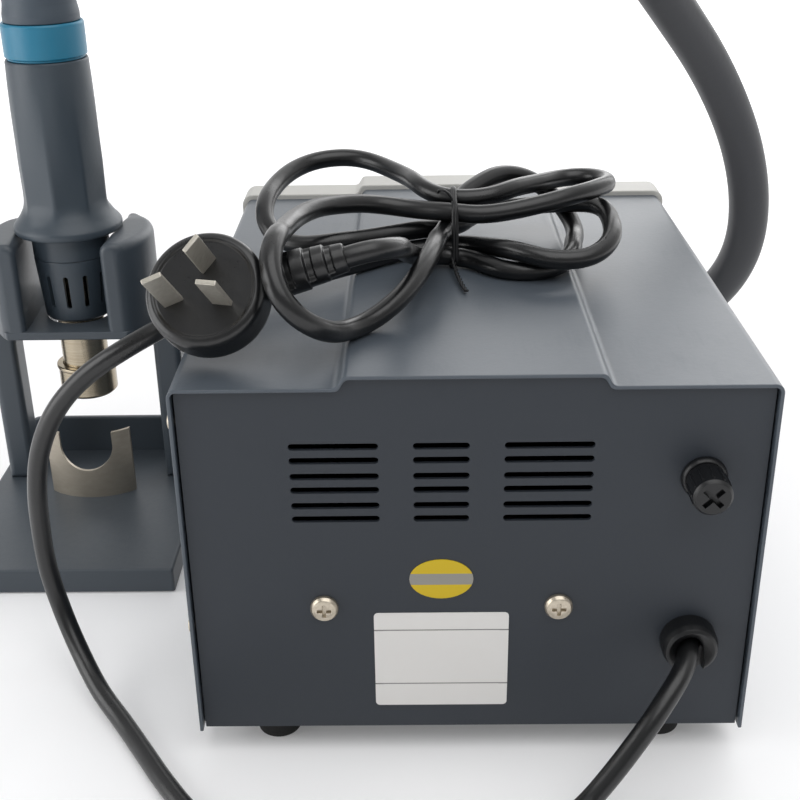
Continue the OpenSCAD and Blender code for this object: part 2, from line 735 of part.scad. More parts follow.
// Its capacitors, terminal block and row of relays
capacitor_r = 9;
capacitor_h = 26;
capacitor_y = 46;
small_capacitor_r = 6;
small_capacitor_h = 18;
small_capacitor_y = 28;
terminal_d = 14;
terminal_h = 16;
terminal_y = -62;
terminal_w = power_board_w - 12;
relay_d = 9;
relay_h = 11;
relay_y = -42;
relay_pitch = (power_board_w - 6) / 4;
module power_board() color(board_green) placed() {
    difference() {
        translate([power_board_x, power_board_y, board_top - board_t / 2])
            cube([power_board_w, power_board_d, board_t], center = true);
        for (p = power_posts) translate([p[0], p[1], board_top - board_t - past])
            cylinder(h = board_t + 2 * past, r = 1.6);
    }
    translate([power_board_x, power_board_y + capacitor_y, board_top])
        cylinder(h = capacitor_h, r = capacitor_r);
    translate([power_board_left + small_capacitor_r + 2, power_board_y + small_capacitor_y, board_top])
        cylinder(h = small_capacitor_h, r = small_capacitor_r);
    translate([power_board_right - terminal_w - 1, power_board_y + terminal_y, board_top])
        cube([terminal_w, terminal_d, terminal_h]);
    for (k = [0 : 3]) translate([power_board_left + 5 + relay_pitch * k, power_board_y + relay_y, board_top])
        cube([relay_pitch - 1, relay_d, relay_h]);
}

// Extruded heat sink with upright fins
sink_w = power_board_right - sink_left - 4;
sink_d = 44;
sink_plate = 4;
fin_t = 2;
fin_pitch = (sink_d - fin_t) / (fin_count - 1);
module heat_sink() color([0.70, 0.71, 0.73]) placed()
    translate([sink_left, power_board_y - 2 - sink_d / 2, board_top]) {
        cube([sink_plate, sink_d, sink_h]);
        for (k = [0 : fin_count - 1]) translate([0, k * fin_pitch, 0]) cube([sink_w, fin_t, sink_h]);
    }

// Mains transformer: laminated core, coil and two feet
transformer_x = -12;
transformer_y = -52;
module transformer() color([0.35, 0.33, 0.30]) placed() translate([transformer_x, transformer_y, floor_top]) {
    difference() {
        translate([-core_w / 2, -core_d / 2, 0]) cube([core_w, core_d, core_h]);
        for (sx = [-1, 1]) translate([sx * core_w / 4 - core_w / 12, -core_d / 2 - past, core_h / 6])
            cube([core_w / 6, core_d + 2 * past, core_h * 2 / 3]);
    }
    difference() {
        translate([-core_w / 3 + 0.5, -core_d / 2 - 8, core_h / 6 + 0.5])
            cube([core_w * 2 / 3 - 1, core_d + 16, core_h * 2 / 3 - 1]);
        translate([-core_w / 6, -core_d / 2 - 0.01, 0]) cube([core_w / 3, core_d + 0.02, core_h]);
    }
    for (sx = [-1, 1]) translate([sx * (core_w / 2 + 5) - 6, -8, 0]) cube([12, 16, 1.5]);
}

// Rubber feet pushed into the pan
foot_places = [for (sx = [-1, 1]) for (y = [-foot_end, -cover_depth + foot_end])
    [sx * (half_w - foot_side), y]];
module feet() color(rubber_black) placed() for (p = foot_places) translate([p[0], p[1], 0])
    rotate_extrude() polygon([[0, 3], [2.6, 3], [3.2, 0.6], [3.6, 0], [foot_d / 2 - 1.6, 0],
        [foot_d / 2 - 0.5, 0.5], [foot_d / 2 - 0.2, 1.4], [foot_d / 2, floor_z - 1],
        [foot_d / 2 - 0.4, floor_z], [foot_hole_r - 0.1, floor_z], [foot_hole_r - 0.1, floor_top + 0.2],
        [foot_hole_r + 1, floor_top + 0.2],
        [foot_hole_r + 0.2, floor_top + 2.4], [0, floor_top + 2.4]]);

// Pan head screw along +Z with its head above z = 0 and a cross recess
module pan_screw(head_d, head_h, r, len) {
    difference() {
        rotate_extrude() polygon([[0, 0], [head_d / 2, 0], [head_d / 2, head_h * 0.45],
            [head_d * 0.42, head_h * 0.85], [head_d * 0.25, head_h], [0, head_h]]);
        for (a = [0, 90]) rotate(a) translate([0, 0, head_h])
            cube([head_d * 0.5, head_d * 0.13, head_h], center = true);
    }
    translate([0, 0, -len]) cylinder(h = len + 0.01, r = r);
}

screw_head_h = 2.6;
screw_len = 7;
module panel_screws() color(steel_bright) placed() for (x = panel_screw_xs)
    translate([x, rear_face, screw_z]) rotate([-90, 0, 0])
    pan_screw(screw_head_d, screw_head_h, panel_screw_r, screw_len);

side_screw_r = 1.5;
side_head_d = 6;
side_head_h = 1.8;
side_screw_len = 5;
side_screw_list = [[-8, side_top - 14], [-8, 50], [-24, 21], [-cover_depth + 24, 21]];
module side_screw_places() {
    for (sx = [-1, 1]) for (p = side_screw_list) translate([sx * half_w, p[0], p[1]]) children();
}
module side_screws() color(steel_bright) placed()
    for (sx = [-1, 1]) for (p = side_screw_list) translate([sx * half_w, p[0], p[1]])
        rotate([0, sx * 90, 0]) pan_screw(side_head_d, side_head_h, side_screw_r, side_screw_len);

// Fuse holder in the rear panel, its glass fuse and the cap that turns and draws it
holder_r = 6;
cap_plug_r = 4.4;
holder_flange = 2.5;
fuse_r = fuse_d / 2;
cap_base = rear_face + holder_flange;
fuse_back = rear_face - 9;
module fuse_holder() color(plastic_black) placed() translate([-side_fittings_x, rear_face, fuse_z])
    rotate([90, 0, 0]) rotate_extrude() {
        well = -rear_face + fuse_back;
        depth = 9 + fuse_len + 3;
        polygon([[cap_plug_r + turn_gap, -holder_flange], [fuse_cap_d / 2 + 0.4, -holder_flange],
            [fuse_cap_d / 2 + 1.1, -1.4], [fuse_cap_d / 2 + 1.1, 0], [holder_r, 0], [holder_r, depth],
            [0, depth], [0, depth - 3], [fuse_r + seat_gap, depth - 3], [fuse_r + seat_gap, -well],
            [cap_plug_r + turn_gap, -well]]);
    }
module fuse() color([0.85, 0.90, 0.92]) placed() {
    rod_y(-side_fittings_x, fuse_z, fuse_back - 0.1, fuse_len - 0.2, fuse_r - 0.3);
    for (y = [fuse_back - 0.1, fuse_back - fuse_len + 4.9])
        rod_y(-side_fittings_x, fuse_z, y, 4.8, fuse_r);
}
module fuse_cap() color(plastic_black) placed() translate([-side_fittings_x, cap_base + 0.3, fuse_z])
    rotate([-90, 0, 0]) difference() {
        head = fuse_reach - cap_base - 0.3;
        plug = cap_base + 0.3 - fuse_back - 0.4;
        union() {
            rotate_extrude() polygon([[0, -plug], [cap_plug_r, -plug], [cap_plug_r, 0], [fuse_cap_d / 2, 0],
                [fuse_cap_d / 2, head - 1], [fuse_cap_d / 2 - 0.9, head], [0, head]]);
            for (k = [0 : 11]) rotate(30 * k) translate([fuse_cap_d / 2, 0, 1.4])
                cylinder(h = head - 3.4, r = 0.35);
        }
        for (a = [45, 135]) rotate(a) translate([0, 0, head]) cube([8, 1.7, 3.6], center = true);
    }

// Bushing that clamps the mains lead, with a notch below where the lead turns down
lead_r = lead_d / 2;
module cable_gland() color(rubber_black) placed() translate([-side_fittings_x, rear_face, gland_z])
    rotate([-90, 0, 0]) difference() {
        reach = gland_reach + rear_inset;
        r = gland_d / 2;
        rotate_extrude() polygon([[lead_r + seat_gap, -10], [gland_neck_r - 1, -10], [gland_neck_r - 0.3, -7],
            [gland_neck_r - 0.1, -rear_plate - 0.2], [gland_neck_r - 0.1, 0], [r, 0], [r, reach - 3],
            [r - 0.8, reach - 0.6], [r - 1.8, reach], [r - 2.6, reach - 0.4], [lead_r + 0.9, reach - 2],
            [lead_r + seat_gap, reach - 3.4]]);
        translate([-lead_r - 0.9, 0, reach - 4.4]) cube([2 * lead_r + 1.8, r + past, 6]);
    }

// Paper label with two ruled lines, and the oval sticker with its band
sticker_t = 0.3;
module rating_label() color([0.93, 0.93, 0.92]) placed() difference() {
    along_y(rear_face + sticker_t, sticker_t) translate([rear_mid, label_low + label_h / 2])
        round_rect(label_w, label_h, 1.5);
    for (z = [0.24, 0.82]) along_y(rear_face + sticker_t + past, past + 0.1)
        translate([rear_mid, label_low + label_h * z]) square([label_w - 6, 0.5], center = true);
}
module oval_sticker() color([0.93, 0.80, 0.15]) placed()
    translate([rear_mid, 0, 0]) along_y(rear_face + sticker_t, sticker_t) translate([0, oval_z])
        polygon([for (a = [0 : 10 : 350]) [oval_w / 2 * cos(a), oval_h / 2 * sin(a)]]);

// Stand's base: a cast plate with softened edges and a lip along its front
base_front = -base_rear - base_d;
base_top = pad_t + base_t;
function soft_rect(x, y, w, d, r, z) = concat(
    [for (k = [0 : 6]) [x + w / 2 - r + r * cos(15 * k - 90), y - d / 2 + r + r * sin(15 * k - 90), z]],
    [for (k = [0 : 6]) [x + w / 2 - r + r * cos(15 * k), y + d / 2 - r + r * sin(15 * k), z]],
    [for (k = [0 : 6]) [x - w / 2 + r + r * cos(15 * k + 90), y + d / 2 - r + r * sin(15 * k + 90), z]],
    [for (k = [0 : 6]) [x - w / 2 + r + r * cos(15 * k + 180), y - d / 2 + r + r * sin(15 * k + 180), z]]);
module stand_base() color(handle_grey) placed() {
    y = -base_rear - base_d / 2;
    edge = [[0, 0.6], [0.6, 0], [base_t - 2, 0], [base_t - 0.6, 0.5], [base_t, 1.6]];
    skin([for (e = reversed(edge))
        soft_rect(stand_x, y, base_w - 2 * e[1], base_d - 2 * e[1], 4 - e[1] / 2, pad_t + e[0])]);
    along_y(base_front + 4.6, 3) translate([stand_x, (base_top - 2 + lip_top) / 2]) difference() {
        round_rect(base_w - 14, lip_top - base_top + 2, 9);
        translate([-base_w / 2, -lip_top]) square([base_w, lip_top - (lip_top - base_top) / 2 - 1]);
    }
    along_y(base_front + 4.6, 3) translate([stand_x, base_top + (lip_top - base_top) / 4])
        square([base_w - 14, (lip_top - base_top) / 2 + 2], center = true);
}

module stand_pads() color(rubber_black) placed()
    for (sx = [-1, 1]) for (y = [-base_rear - 14, base_front + 14])
        translate([stand_x + sx * (base_w / 2 - 14), y, 0]) cylinder(h = pad_t, r = 7);

// Two posts with inward arms under the cradle
arm_t = 8;
module stand_arch() color(handle_grey) placed()
    for (sx = [-1, 1]) translate([stand_x, 0, 0]) along_y(-handle_y + 2, post_d) scale_x(sx) difference() {
        union() {
            translate([post_gap / 2, base_top]) square([post_w, post_top - base_top - 10]);
            translate([slot_half, post_top - arm_t]) square([post_gap / 2 + post_w - slot_half - 10, arm_t]);
            translate([post_gap / 2 + post_w - 10, post_top - 10]) circle(10);
            translate([post_gap / 2 - 4, post_top - arm_t - 4]) square(4.1);
        }
        translate([post_gap / 2 - 4, post_top - arm_t - 4]) circle(4);
        translate([post_gap / 2 - 12, post_top - arm_t - 12]) square([12, 12 + 0.01]);
    }
module scale_x(s) {
    if (s > 0) children();
    else mirror([1, 0]) children();
}

// Cradle: a floor with a slot open to the front and two cheeks round the handle
cradle_rear = -handle_y + 25;
cradle_front = base_front;
module cradle_2d() {
    intersection() {
        translate([stand_x, -handle_y]) circle(cradle_r);
        translate([stand_x - cradle_r, cradle_front]) square([2 * cradle_r, cradle_rear - cradle_front]);
    }
}
module cradle() color(handle_grey) placed() {
    difference() {
        translate([0, 0, post_top]) linear_extrude(cheek_top - post_top) cradle_2d();
        translate([0, 0, post_top + cradle_floor]) linear_extrude(cheek_top)
            polygon([[stand_x - channel_rear, cradle_rear + past],
                [stand_x + channel_rear, cradle_rear + past],
                [stand_x + channel_front, cradle_front - past],
                [stand_x - channel_front, cradle_front - past]]);
        translate([stand_x, -handle_y, post_top - past]) cylinder(h = cheek_top, r = slot_half);
        translate([stand_x - slot_half, cradle_front - past, post_top - past])
            cube([2 * slot_half, -handle_y - cradle_front + past, cheek_top]);
    }
}

// Upright curved steel plate with a deep notch, where hot nozzles are pulled off
rest_y = -handle_y - 9;
module nozzle_rest() color([0.72, 0.68, 0.62]) placed() difference() {
    translate([stand_x, rest_y, base_top]) difference() {
        cylinder(h = rest_h, r = rest_r);
        translate([0, 0, -past]) cylinder(h = rest_h + 2 * past, r = rest_r - rest_t);
        translate([-2 * rest_r, -2 * rest_r, -past]) cube([4 * rest_r, 2 * rest_r, rest_h + 2 * past]);
        for (sx = [-1, 1]) translate([sx * (rest_w / 2 + rest_r), rest_r, rest_h / 2])
            cube([2 * rest_r, 4 * rest_r, rest_h + 2 * past], center = true);
    }
    translate([stand_x, 0, base_top + rest_cut_low + rest_cut / 2]) rotate([90, 0, 0])
        cylinder(h = handle_y, r = rest_cut / 2);
    translate([stand_x - rest_cut / 2, -handle_y, base_top + rest_cut_low + rest_cut / 2])
        cube([rest_cut, handle_y, rest_h]);
}

// Handle, stacked along its upright axis from the height of the cradle's cheeks
flange_low = cheek_top + rest_gap;
grip_low = flange_low + flange_t;
grip_top = grip_low + grip_len;
ring_top = grip_top + ring_h;
tail_top = ring_top + tail_len;
skirt_low = flange_low - 11;
collar_top = skirt_low - seat_gap;
collar_low = collar_top - collar_len;
tube_low = collar_low - tube_out;
tube_top = grip_low + 5;
shell_r = 13.6;
module on_handle() {
    placed() translate([stand_x, -handle_y, 0]) children();
}

// Grip: a turned shell with a two-step flange and flats that fade upwards
module grip() color(handle_grey) on_handle() difference() {
    union() {
        intersection() {
            rotate_extrude() polygon([[0, grip_low - 1], [grip_low_r + 1.4, grip_low - 1],
                [grip_low_r + 0.4, grip_low + 2], [grip_low_r, grip_low + 5],
                [grip_mid_r, grip_low + grip_len * 0.36], [grip_top_r, grip_top - 2],
                [grip_top_r - 0.5, grip_top], [0, grip_top]]);
            translate([0, 0, grip_low - 1]) rotate(22.5)
                cylinder(h = grip_len + 2, r1 = grip_mid_r + 0.9, r2 = grip_top_r + 2.2, $fn = 8);
        }
        rotate_extrude() polygon([[0, skirt_low], [collar_r, skirt_low], [collar_r + 0.3, flange_low],
            [flange_r - 1, flange_low], [flange_r, flange_low + 0.8],
            [flange_r, flange_low + flange_t * 0.45], [flange_r - 0.9, flange_low + flange_t * 0.55],
            [flange_r - 0.9, grip_low - 0.9],
            [flange_r - 1.8, grip_low], [0, grip_low]]);
    }
    translate([0, 0, tube_top]) cylinder(h = grip_len + past, r = shell_r);
    translate([0, 0, skirt_low - past]) cylinder(h = tube_top, r = tube_r + seat_gap);
}

module grip_ring() color(ring_teal) on_handle() rotate_extrude()
    polygon([[shell_r, grip_top + 0.05], [ring_r - 1, grip_top + 0.05], [ring_r - 1, grip_top + 0.9],
        [ring_r, grip_top + 1.3], [ring_r, ring_top - 1], [ring_r - 0.5, ring_top - 0.1],
        [shell_r, ring_top - 0.1]]);

// Soft sleeve round the hose, with a spigot down through the ring
module tail_sleeve() color(plastic_black) on_handle() rotate_extrude() {
    bore = hose_r + slide_gap;
    polygon([[bore, grip_top - 8], [shell_r - seat_gap, grip_top - 8], [shell_r - seat_gap, ring_top],
        [tail_r, ring_top], [tail_r, ring_top + 3], [tail_r - 0.7, ring_top + 6],
        [tail_end_r + 0.6, tail_top - 6],
        [tail_end_r, tail_top - 1], [tail_end_r - 0.6, tail_top], [bore, tail_top]]);
}

// Vented collar round the heater tube
module heat_collar() color([0.22, 0.25, 0.29]) on_handle() difference() {
    slot_mid = collar_low + collar_len * 0.5;
    rotate_extrude() polygon([[tube_r + seat_gap, collar_low], [collar_end_r - 0.8, collar_low],
        [collar_end_r, collar_low + 1], [collar_r, collar_top - 1], [collar_r - 0.4, collar_top],
        [collar_end_r - 1.4, collar_top], [collar_end_r - 1.4, collar_low + 2.4],
        [tube_r + seat_gap, collar_low + 2.4]]);
    for (k = [0 : collar_slots - 1]) rotate(360 * k / collar_slots) translate([0, -tube_r, slot_mid])
        rotate([90, 0, 0]) linear_extrude(collar_r) rotate(90) slot_2d(collar_slot_h, collar_slot_w);
}

module heater_tube() color([0.74, 0.71, 0.66]) on_handle() translate([0, 0, tube_low]) difference() {
    cylinder(h = tube_top - tube_low, r = tube_r);
    translate([0, 0, -past]) cylinder(h = tube_top - tube_low + 2 * past, r = tube_r - tube_wall);
}

// Ceramic heater: two end discs with air holes on a ribbed core
core_r = 6;
module heater_core() color([0.90, 0.88, 0.84]) on_handle() {
    end_r = tube_r - tube_wall - seat_gap;
    low = tube_low + 8;
    high = tube_top - 2;
    difference() {
        union() {
            translate([0, 0, low]) cylinder(h = high - low, r = core_r);
            for (z = [low, (low + high) / 2, high - 3]) translate([0, 0, z]) cylinder(h = 3, r = end_r);
        }
        for (a = [0 : 60 : 300]) rotate(a) translate([end_r - 1.7, 0, low - past])
            cylinder(h = high - low + 2 * past, r = 1.1);
    }
}

// Terminal disc that holds the heater's wires in the grip
module core_socket() color([0.85, 0.85, 0.83]) on_handle() translate([0, 0, tube_top]) difference() {
    cylinder(h = 6, r = shell_r - seat_gap);
    for (a = [0 : 60 : 300]) rotate(a) translate([8.5, 0, -past]) cylinder(h = 8, r = 2.4);
}

// Nozzle: a sleeve on the heater tube, a bead at its mouth and a ledge under the tube's end
module nozzle() color([0.78, 0.74, 0.67]) on_handle() rotate_extrude() {
    bore = tube_r + seat_gap;
    ledge = tube_low - rest_gap;
    top = ledge + nozzle_h - 3;
    low = ledge - 3;
    polygon([[outlet_r, low], [nozzle_r - 1.2, low], [nozzle_r, low + 1.2], [nozzle_r, top - 2],
        [nozzle_r + 0.6, top - 1.6], [nozzle_r + 0.6, top - 0.4], [nozzle_r + 0.2, top], [bore, top],
        [bore, ledge], [outlet_r, ledge]]);
}

// Routes of the hose and the lead, chosen by eye, in millimetres
hose_route = [[170, -185, 247], [170, -185, 264], [169, -185, 281], [164, -185, 304], [152, -185, 327],
    [133, -185, 345], [107, -185, 355], [78, -185, 357], [51, -186, 352], [25, -188, 342], [1, -191, 328],
    [-21, -196, 311], [-41, -204, 292], [-58, -215, 272], [-74, -229, 251], [-91, -246, 231],
    [-108, -262, 211], [-126, -278, 189], [-143, -292, 163], [-156, -302, 136], [-164, -310, 107],
    [-166, -320, 79], [-160, -333, 53], [-145, -345, 32], [-122, -353, 20], [-94, -350, 18],
    [-68, -337, 23], [-49, -317, 30], [-37, -293, 37], [-31, -267, 41], [-30, -250, 42], [-30, -238.2, 42]];
lead_route = [[-72.5, -11, 47], [-72.5, -3, 47], [-71.5, 5, 46.4], [-68, 13, 44], [-63, 19, 40],
    [-57, 24.5, 34], [-50.5, 28.5, 26.5], [-43, 33, 18.5], [-34, 38, 10.5], [-20, 47, 4.8],
    [-4, 55.5, 3.7], [13, 61.5, 3.7],
    [31, 64, 3.7], [49, 62, 3.7], [66, 55, 3.7], [80, 45, 3.7], [93, 32, 3.7], [104, 17.5, 3.7],
    [114, 2.5, 3.7], [124, -12, 4.5], [135, -26, 7.5], [144.5, -39, 15], [152, -48, 28], [156, -51, 45],
    [156, -50, 63], [154, -47, 81], [150, -45, 98], [142, -44, 114], [130, -43.5, 127], [115, -44, 137],
    [99, -49, 144.5], [85, -58, 148.8], [71, -69, 149], [57, -80, 148.8], [43, -90, 148.6]];
plug_lead_route = [[39, -29, 173], [34, -29.5, 174], [29, -32, 174], [25.5, -36.5, 173], [23.5, -42.5, 171.5],
    [22.5, -50, 169], [21.5, -58, 166], [20, -68, 162], [18, -78, 158.5], [15.5, -88, 155], [13, -98, 152]];

module hose() color([0.17, 0.18, 0.20]) placed() tube(hose_route, hose_r, 12);
module mains_lead() color(rubber_black) placed() tube(lead_route, lead_r, 8);
module plug_lead() color(rubber_black) placed() tube(plug_lead_route, lead_r, 8);

// The wound part of the lead: two lobes held at a waist, and a low arm towards the plug
hank_low = plateau_top + 0.3;
hank_h = 22;
lobe_y = -130;
left_lobe_x = 44;
left_lobe_r = 38;
right_lobe_x = -34;
right_lobe_r = 34;
waist_low = 1.6;
waist_size = [24, 26, hank_h - waist_low];
waist_rear = -98;
arm_size = [22, 56, 8];
arm_turn = -28;
arm_end = [44, -54];
arm_end_r = 11;
module cord_hank() color(rubber_black) placed() translate([0, 0, hank_low]) {
    translate([left_lobe_x, lobe_y, 0]) cylinder(h = hank_h, r = left_lobe_r);
    translate([right_lobe_x, lobe_y, 0]) cylinder(h = hank_h, r = right_lobe_r);
    translate([-waist_size[0] / 3, waist_rear - waist_size[1], waist_low]) cube(waist_size);
    translate([waist_size[0] / 3, waist_rear, 0]) rotate(arm_turn) cube(arm_size);
    translate([arm_end[0], arm_end[1], 0]) cylinder(h = arm_size[2], r = arm_end_r);
}

// Twisted tie round the waist with one loose end
tie_t = 1.1;
tie_w = 4;
tie_x = 1;
tie_end = [2.4, 27, 1];
module cord_tie() color([0.05, 0.05, 0.05]) placed() translate([tie_x, waist_rear, hank_low + waist_low]) {
    out = tie_t + seat_gap;
    difference() {
        translate([0, -waist_size[1] - out, -out])
            cube([tie_w, waist_size[1] + 2 * out, waist_size[2] + 2 * out]);
        translate([-past, -waist_size[1] - seat_gap, -seat_gap])
            cube([tie_w + 2 * past, waist_size[1] + 2 * seat_gap, waist_size[2] + 2 * seat_gap]);
    }
    translate([1, out - 0.6, 2]) rotate([-6, 0, 5]) cube(tie_end);
}

// Round plug with a side entry, lying on the case with its blades up and to the rear
plug_place = [83.5, -21, 166.4];
plug_lift = 40;
plug_turn = 10;
neck_turn = 200;
neck_len = 45;
module on_plug() {
    placed() translate(plug_place) rotate([plug_lift - 90, 0, -plug_turn]) children();
}
module neck_profile() {
    polygon([[0, 12], [8.6, 12], [8.6, plug_r + 3], [7.6, plug_r + 5], [7.2, plug_r + 6], [6, plug_r + 6],
        [6, plug_r + 8], [6.9, plug_r + 8], [6.5, plug_r + 13], [5.2, plug_r + 13], [5.2, plug_r + 15],
        [6, plug_r + 15], [5.6, plug_r + 19.5], [4.6, plug_r + 19.5], [4.6, neck_len], [0, neck_len]]);
}
blade_size = [6.4, 1.6];
pin_places = [[10.3, 0, 90, blade_len + 3], [-3.96, 6.86, 60, blade_len], [-3.96, -6.86, -60, blade_len]];
earth_turn = 28;
module blades(grow, depth) {
    rotate(earth_turn) for (p = pin_places) translate([p[0], p[1], -depth]) rotate(p[2] + 90)
        translate([0, 0, p[3] / 2 + depth / 2])
        cube([blade_size[0] + grow, blade_size[1] + grow, p[3] + depth], center = true);
}
module plug_body() color(rubber_black) on_plug() difference() {
    union() {
        rotate_extrude() polygon([[0, -plug_t], [plug_r - 4, -plug_t], [plug_r - 1.2, -plug_t + 1.6],
            [plug_r, -plug_t + 4], [plug_r, -2.4], [plug_r - 0.8, -0.8], [plug_r - 2.4, 0], [0, 0]]);
        translate([0, 0, -plug_t / 2]) rotate([0, 0, neck_turn]) rotate([0, 90, 0])
            rotate_extrude() neck_profile();
    }
    blades(0.1, 5);
}
module plug_blades() color([0.80, 0.78, 0.72]) on_plug() blades(0, 5);

cover();
base_pan();
rear_panel();
front_bezel();
front_panel();
display_window();
display_module();
control_board();
board_pillars();
key_switches();
power_board();
heat_sink();
transformer();
blower_housing();
blower_motor();
impeller();
air_duct();
hose_socket();
feet();
panel_screws();
side_screws();
fuse_holder();
fuse();
fuse_cap();
cable_gland();
rating_label();
oval_sticker();
power_switch();
power_rocker();
channel_key_1();
channel_key_2();
channel_key_3();
heat_up_key();
heat_down_key();
air_up_key();
air_down_key();
stand_base();
stand_pads();
stand_arch();
cradle();
nozzle_rest();
grip();
grip_ring();
tail_sleeve();
heat_collar();
heater_tube();
heater_core();
core_socket();
nozzle();
hose();
mains_lead();
cord_hank();
plug_lead();
plug_body();
plug_blades();
cord_tie();
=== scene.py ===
# %% [markdown]
# # Hot air rework station
# The station is a sheet metal case with a blower inside, a stand with the heater
# handle, a grey air hose between them and a mains lead that lies wound on the case.
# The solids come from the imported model. This notebook gives them their finish and
# replaces the pieces whose real shape is softer than a solid: cords, the plug, the
# handle's turned parts and the folded cover.

# %% Load the model
import json
import math
import bmesh
import bpy
import numpy as np
from mathutils import Matrix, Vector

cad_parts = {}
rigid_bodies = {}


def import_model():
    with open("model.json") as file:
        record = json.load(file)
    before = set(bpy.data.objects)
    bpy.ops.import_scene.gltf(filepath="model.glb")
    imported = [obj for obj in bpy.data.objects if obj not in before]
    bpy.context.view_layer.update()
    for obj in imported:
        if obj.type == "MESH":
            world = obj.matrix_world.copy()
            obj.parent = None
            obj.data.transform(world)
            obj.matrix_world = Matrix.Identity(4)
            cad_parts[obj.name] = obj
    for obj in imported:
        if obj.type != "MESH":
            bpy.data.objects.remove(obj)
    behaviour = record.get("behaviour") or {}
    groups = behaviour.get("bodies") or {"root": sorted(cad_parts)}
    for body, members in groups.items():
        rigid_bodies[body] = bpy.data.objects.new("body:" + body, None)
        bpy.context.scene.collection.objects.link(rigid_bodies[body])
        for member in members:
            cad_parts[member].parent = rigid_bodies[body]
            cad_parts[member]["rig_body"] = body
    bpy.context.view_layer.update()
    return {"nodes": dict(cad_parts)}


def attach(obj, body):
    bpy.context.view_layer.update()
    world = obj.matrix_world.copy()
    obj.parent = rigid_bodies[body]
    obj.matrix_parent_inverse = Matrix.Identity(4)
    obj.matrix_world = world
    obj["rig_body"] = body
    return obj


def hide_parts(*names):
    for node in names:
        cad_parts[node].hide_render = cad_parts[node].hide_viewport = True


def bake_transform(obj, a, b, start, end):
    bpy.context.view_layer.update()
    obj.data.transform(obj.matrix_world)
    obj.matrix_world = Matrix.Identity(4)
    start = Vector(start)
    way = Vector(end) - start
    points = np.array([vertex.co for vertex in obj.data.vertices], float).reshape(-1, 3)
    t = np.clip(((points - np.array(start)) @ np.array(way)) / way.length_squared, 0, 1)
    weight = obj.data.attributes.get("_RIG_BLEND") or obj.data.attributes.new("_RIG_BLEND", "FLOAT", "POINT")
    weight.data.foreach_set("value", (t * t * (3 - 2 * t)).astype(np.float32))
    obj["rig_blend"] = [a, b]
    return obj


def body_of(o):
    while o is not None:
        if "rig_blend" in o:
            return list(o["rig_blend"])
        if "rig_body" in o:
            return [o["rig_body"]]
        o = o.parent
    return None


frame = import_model()

# %% [markdown]
# ## One set of axes
# The station is easiest to think of in millimetres, from the middle of the case's
# rear edge: x across, y to the rear, z up from the table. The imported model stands
# elsewhere, so one helper carries every point over, and all later cells use it.

# %% From the station's millimetres to the model's metres
MM = 0.001  # metres in a millimetre
STATION_AT = np.array([-61.5, 119.0, 0.0])


def station(points):
    """Points in mm from the case's rear edge to metres in the model: (p + offset) / 1000."""
    return (np.asarray(points, float) + STATION_AT) * MM


def in_scene(name, data):
    """A new object for a mesh, a lamp or a camera, put in the scene at the origin."""
    made = bpy.data.objects.new(name, data)
    bpy.context.scene.collection.objects.link(made)
    return made


# %% [markdown]
# ## The camera
# The photograph looks down at the back of the case. The focal length and the place
# were fitted to the case's corners, so the same numbers put the camera here. The
# image is 800 pixels wide, which with a 36 mm sensor turns pixels into a lens.

# %% Camera
FOCAL_PIXELS, IMAGE_PIXELS, SENSOR = 1229.32, 800, 36.0
yaw, pitch, roll = np.radians([0.72, -25.15, -0.86])
ahead = np.array([math.sin(yaw) * math.cos(pitch), -math.cos(yaw) * math.cos(pitch), math.sin(pitch)])
level = np.cross(ahead, [0, 0, 1])
level /= np.linalg.norm(level)
above = np.cross(level, ahead)
right = math.cos(roll) * level + math.sin(roll) * above
up = -math.sin(roll) * level + math.cos(roll) * above
camera_at = station([18.4, 338.1, 295.9])

lens = bpy.data.cameras.new("photo_camera")
lens.sensor_width, lens.lens = SENSOR, FOCAL_PIXELS / IMAGE_PIXELS * SENSOR
lens.clip_start, lens.clip_end = 0.01, 50
camera = in_scene("photo_camera", lens)
pose = np.eye(4)
pose[:3, 0], pose[:3, 1], pose[:3, 2], pose[:3, 3] = right, up, -ahead, camera_at
camera.matrix_world = Matrix(pose.tolist())
bpy.context.scene.camera = camera


def pixel(point):
    """Where a point of the station shows, counted from the picture's middle m:
    m + f (d.right) / (d.ahead) across and m - f (d.up) / (d.ahead) down."""
    d = station(point) - camera_at
    middle = IMAGE_PIXELS / 2
    return middle + FOCAL_PIXELS * d @ right / (d @ ahead), middle - FOCAL_PIXELS * d @ up / (d @ ahead)


print("case corner shows at", np.round(pixel([94, 0, 141]), 1))

# %% [markdown]
# ## Surfaces from arrays
# Every new piece here is a grid of points: rows along one direction, columns along
# the other. One helper turns such a grid into a mesh, closed where it should be.
# Building the faces as index arrays keeps it quick, whatever the number of points.


# %% Grid to mesh
def grid_faces(rows, columns, wrap_rows=False, wrap_columns=True):
    """Four-sided faces of a grid: each point with its neighbour in the row and in the next row."""
    i = np.arange(rows if wrap_rows else rows - 1)
    j = np.arange(columns if wrap_columns else columns - 1)
    i, j = np.meshgrid(i, j, indexing="ij")
    ni, nj = (i + 1) % rows, (j + 1) % columns
    return np.stack([i * columns + j, i * columns + nj, ni * columns + nj, ni * columns + j], -1).reshape(-1, 4)


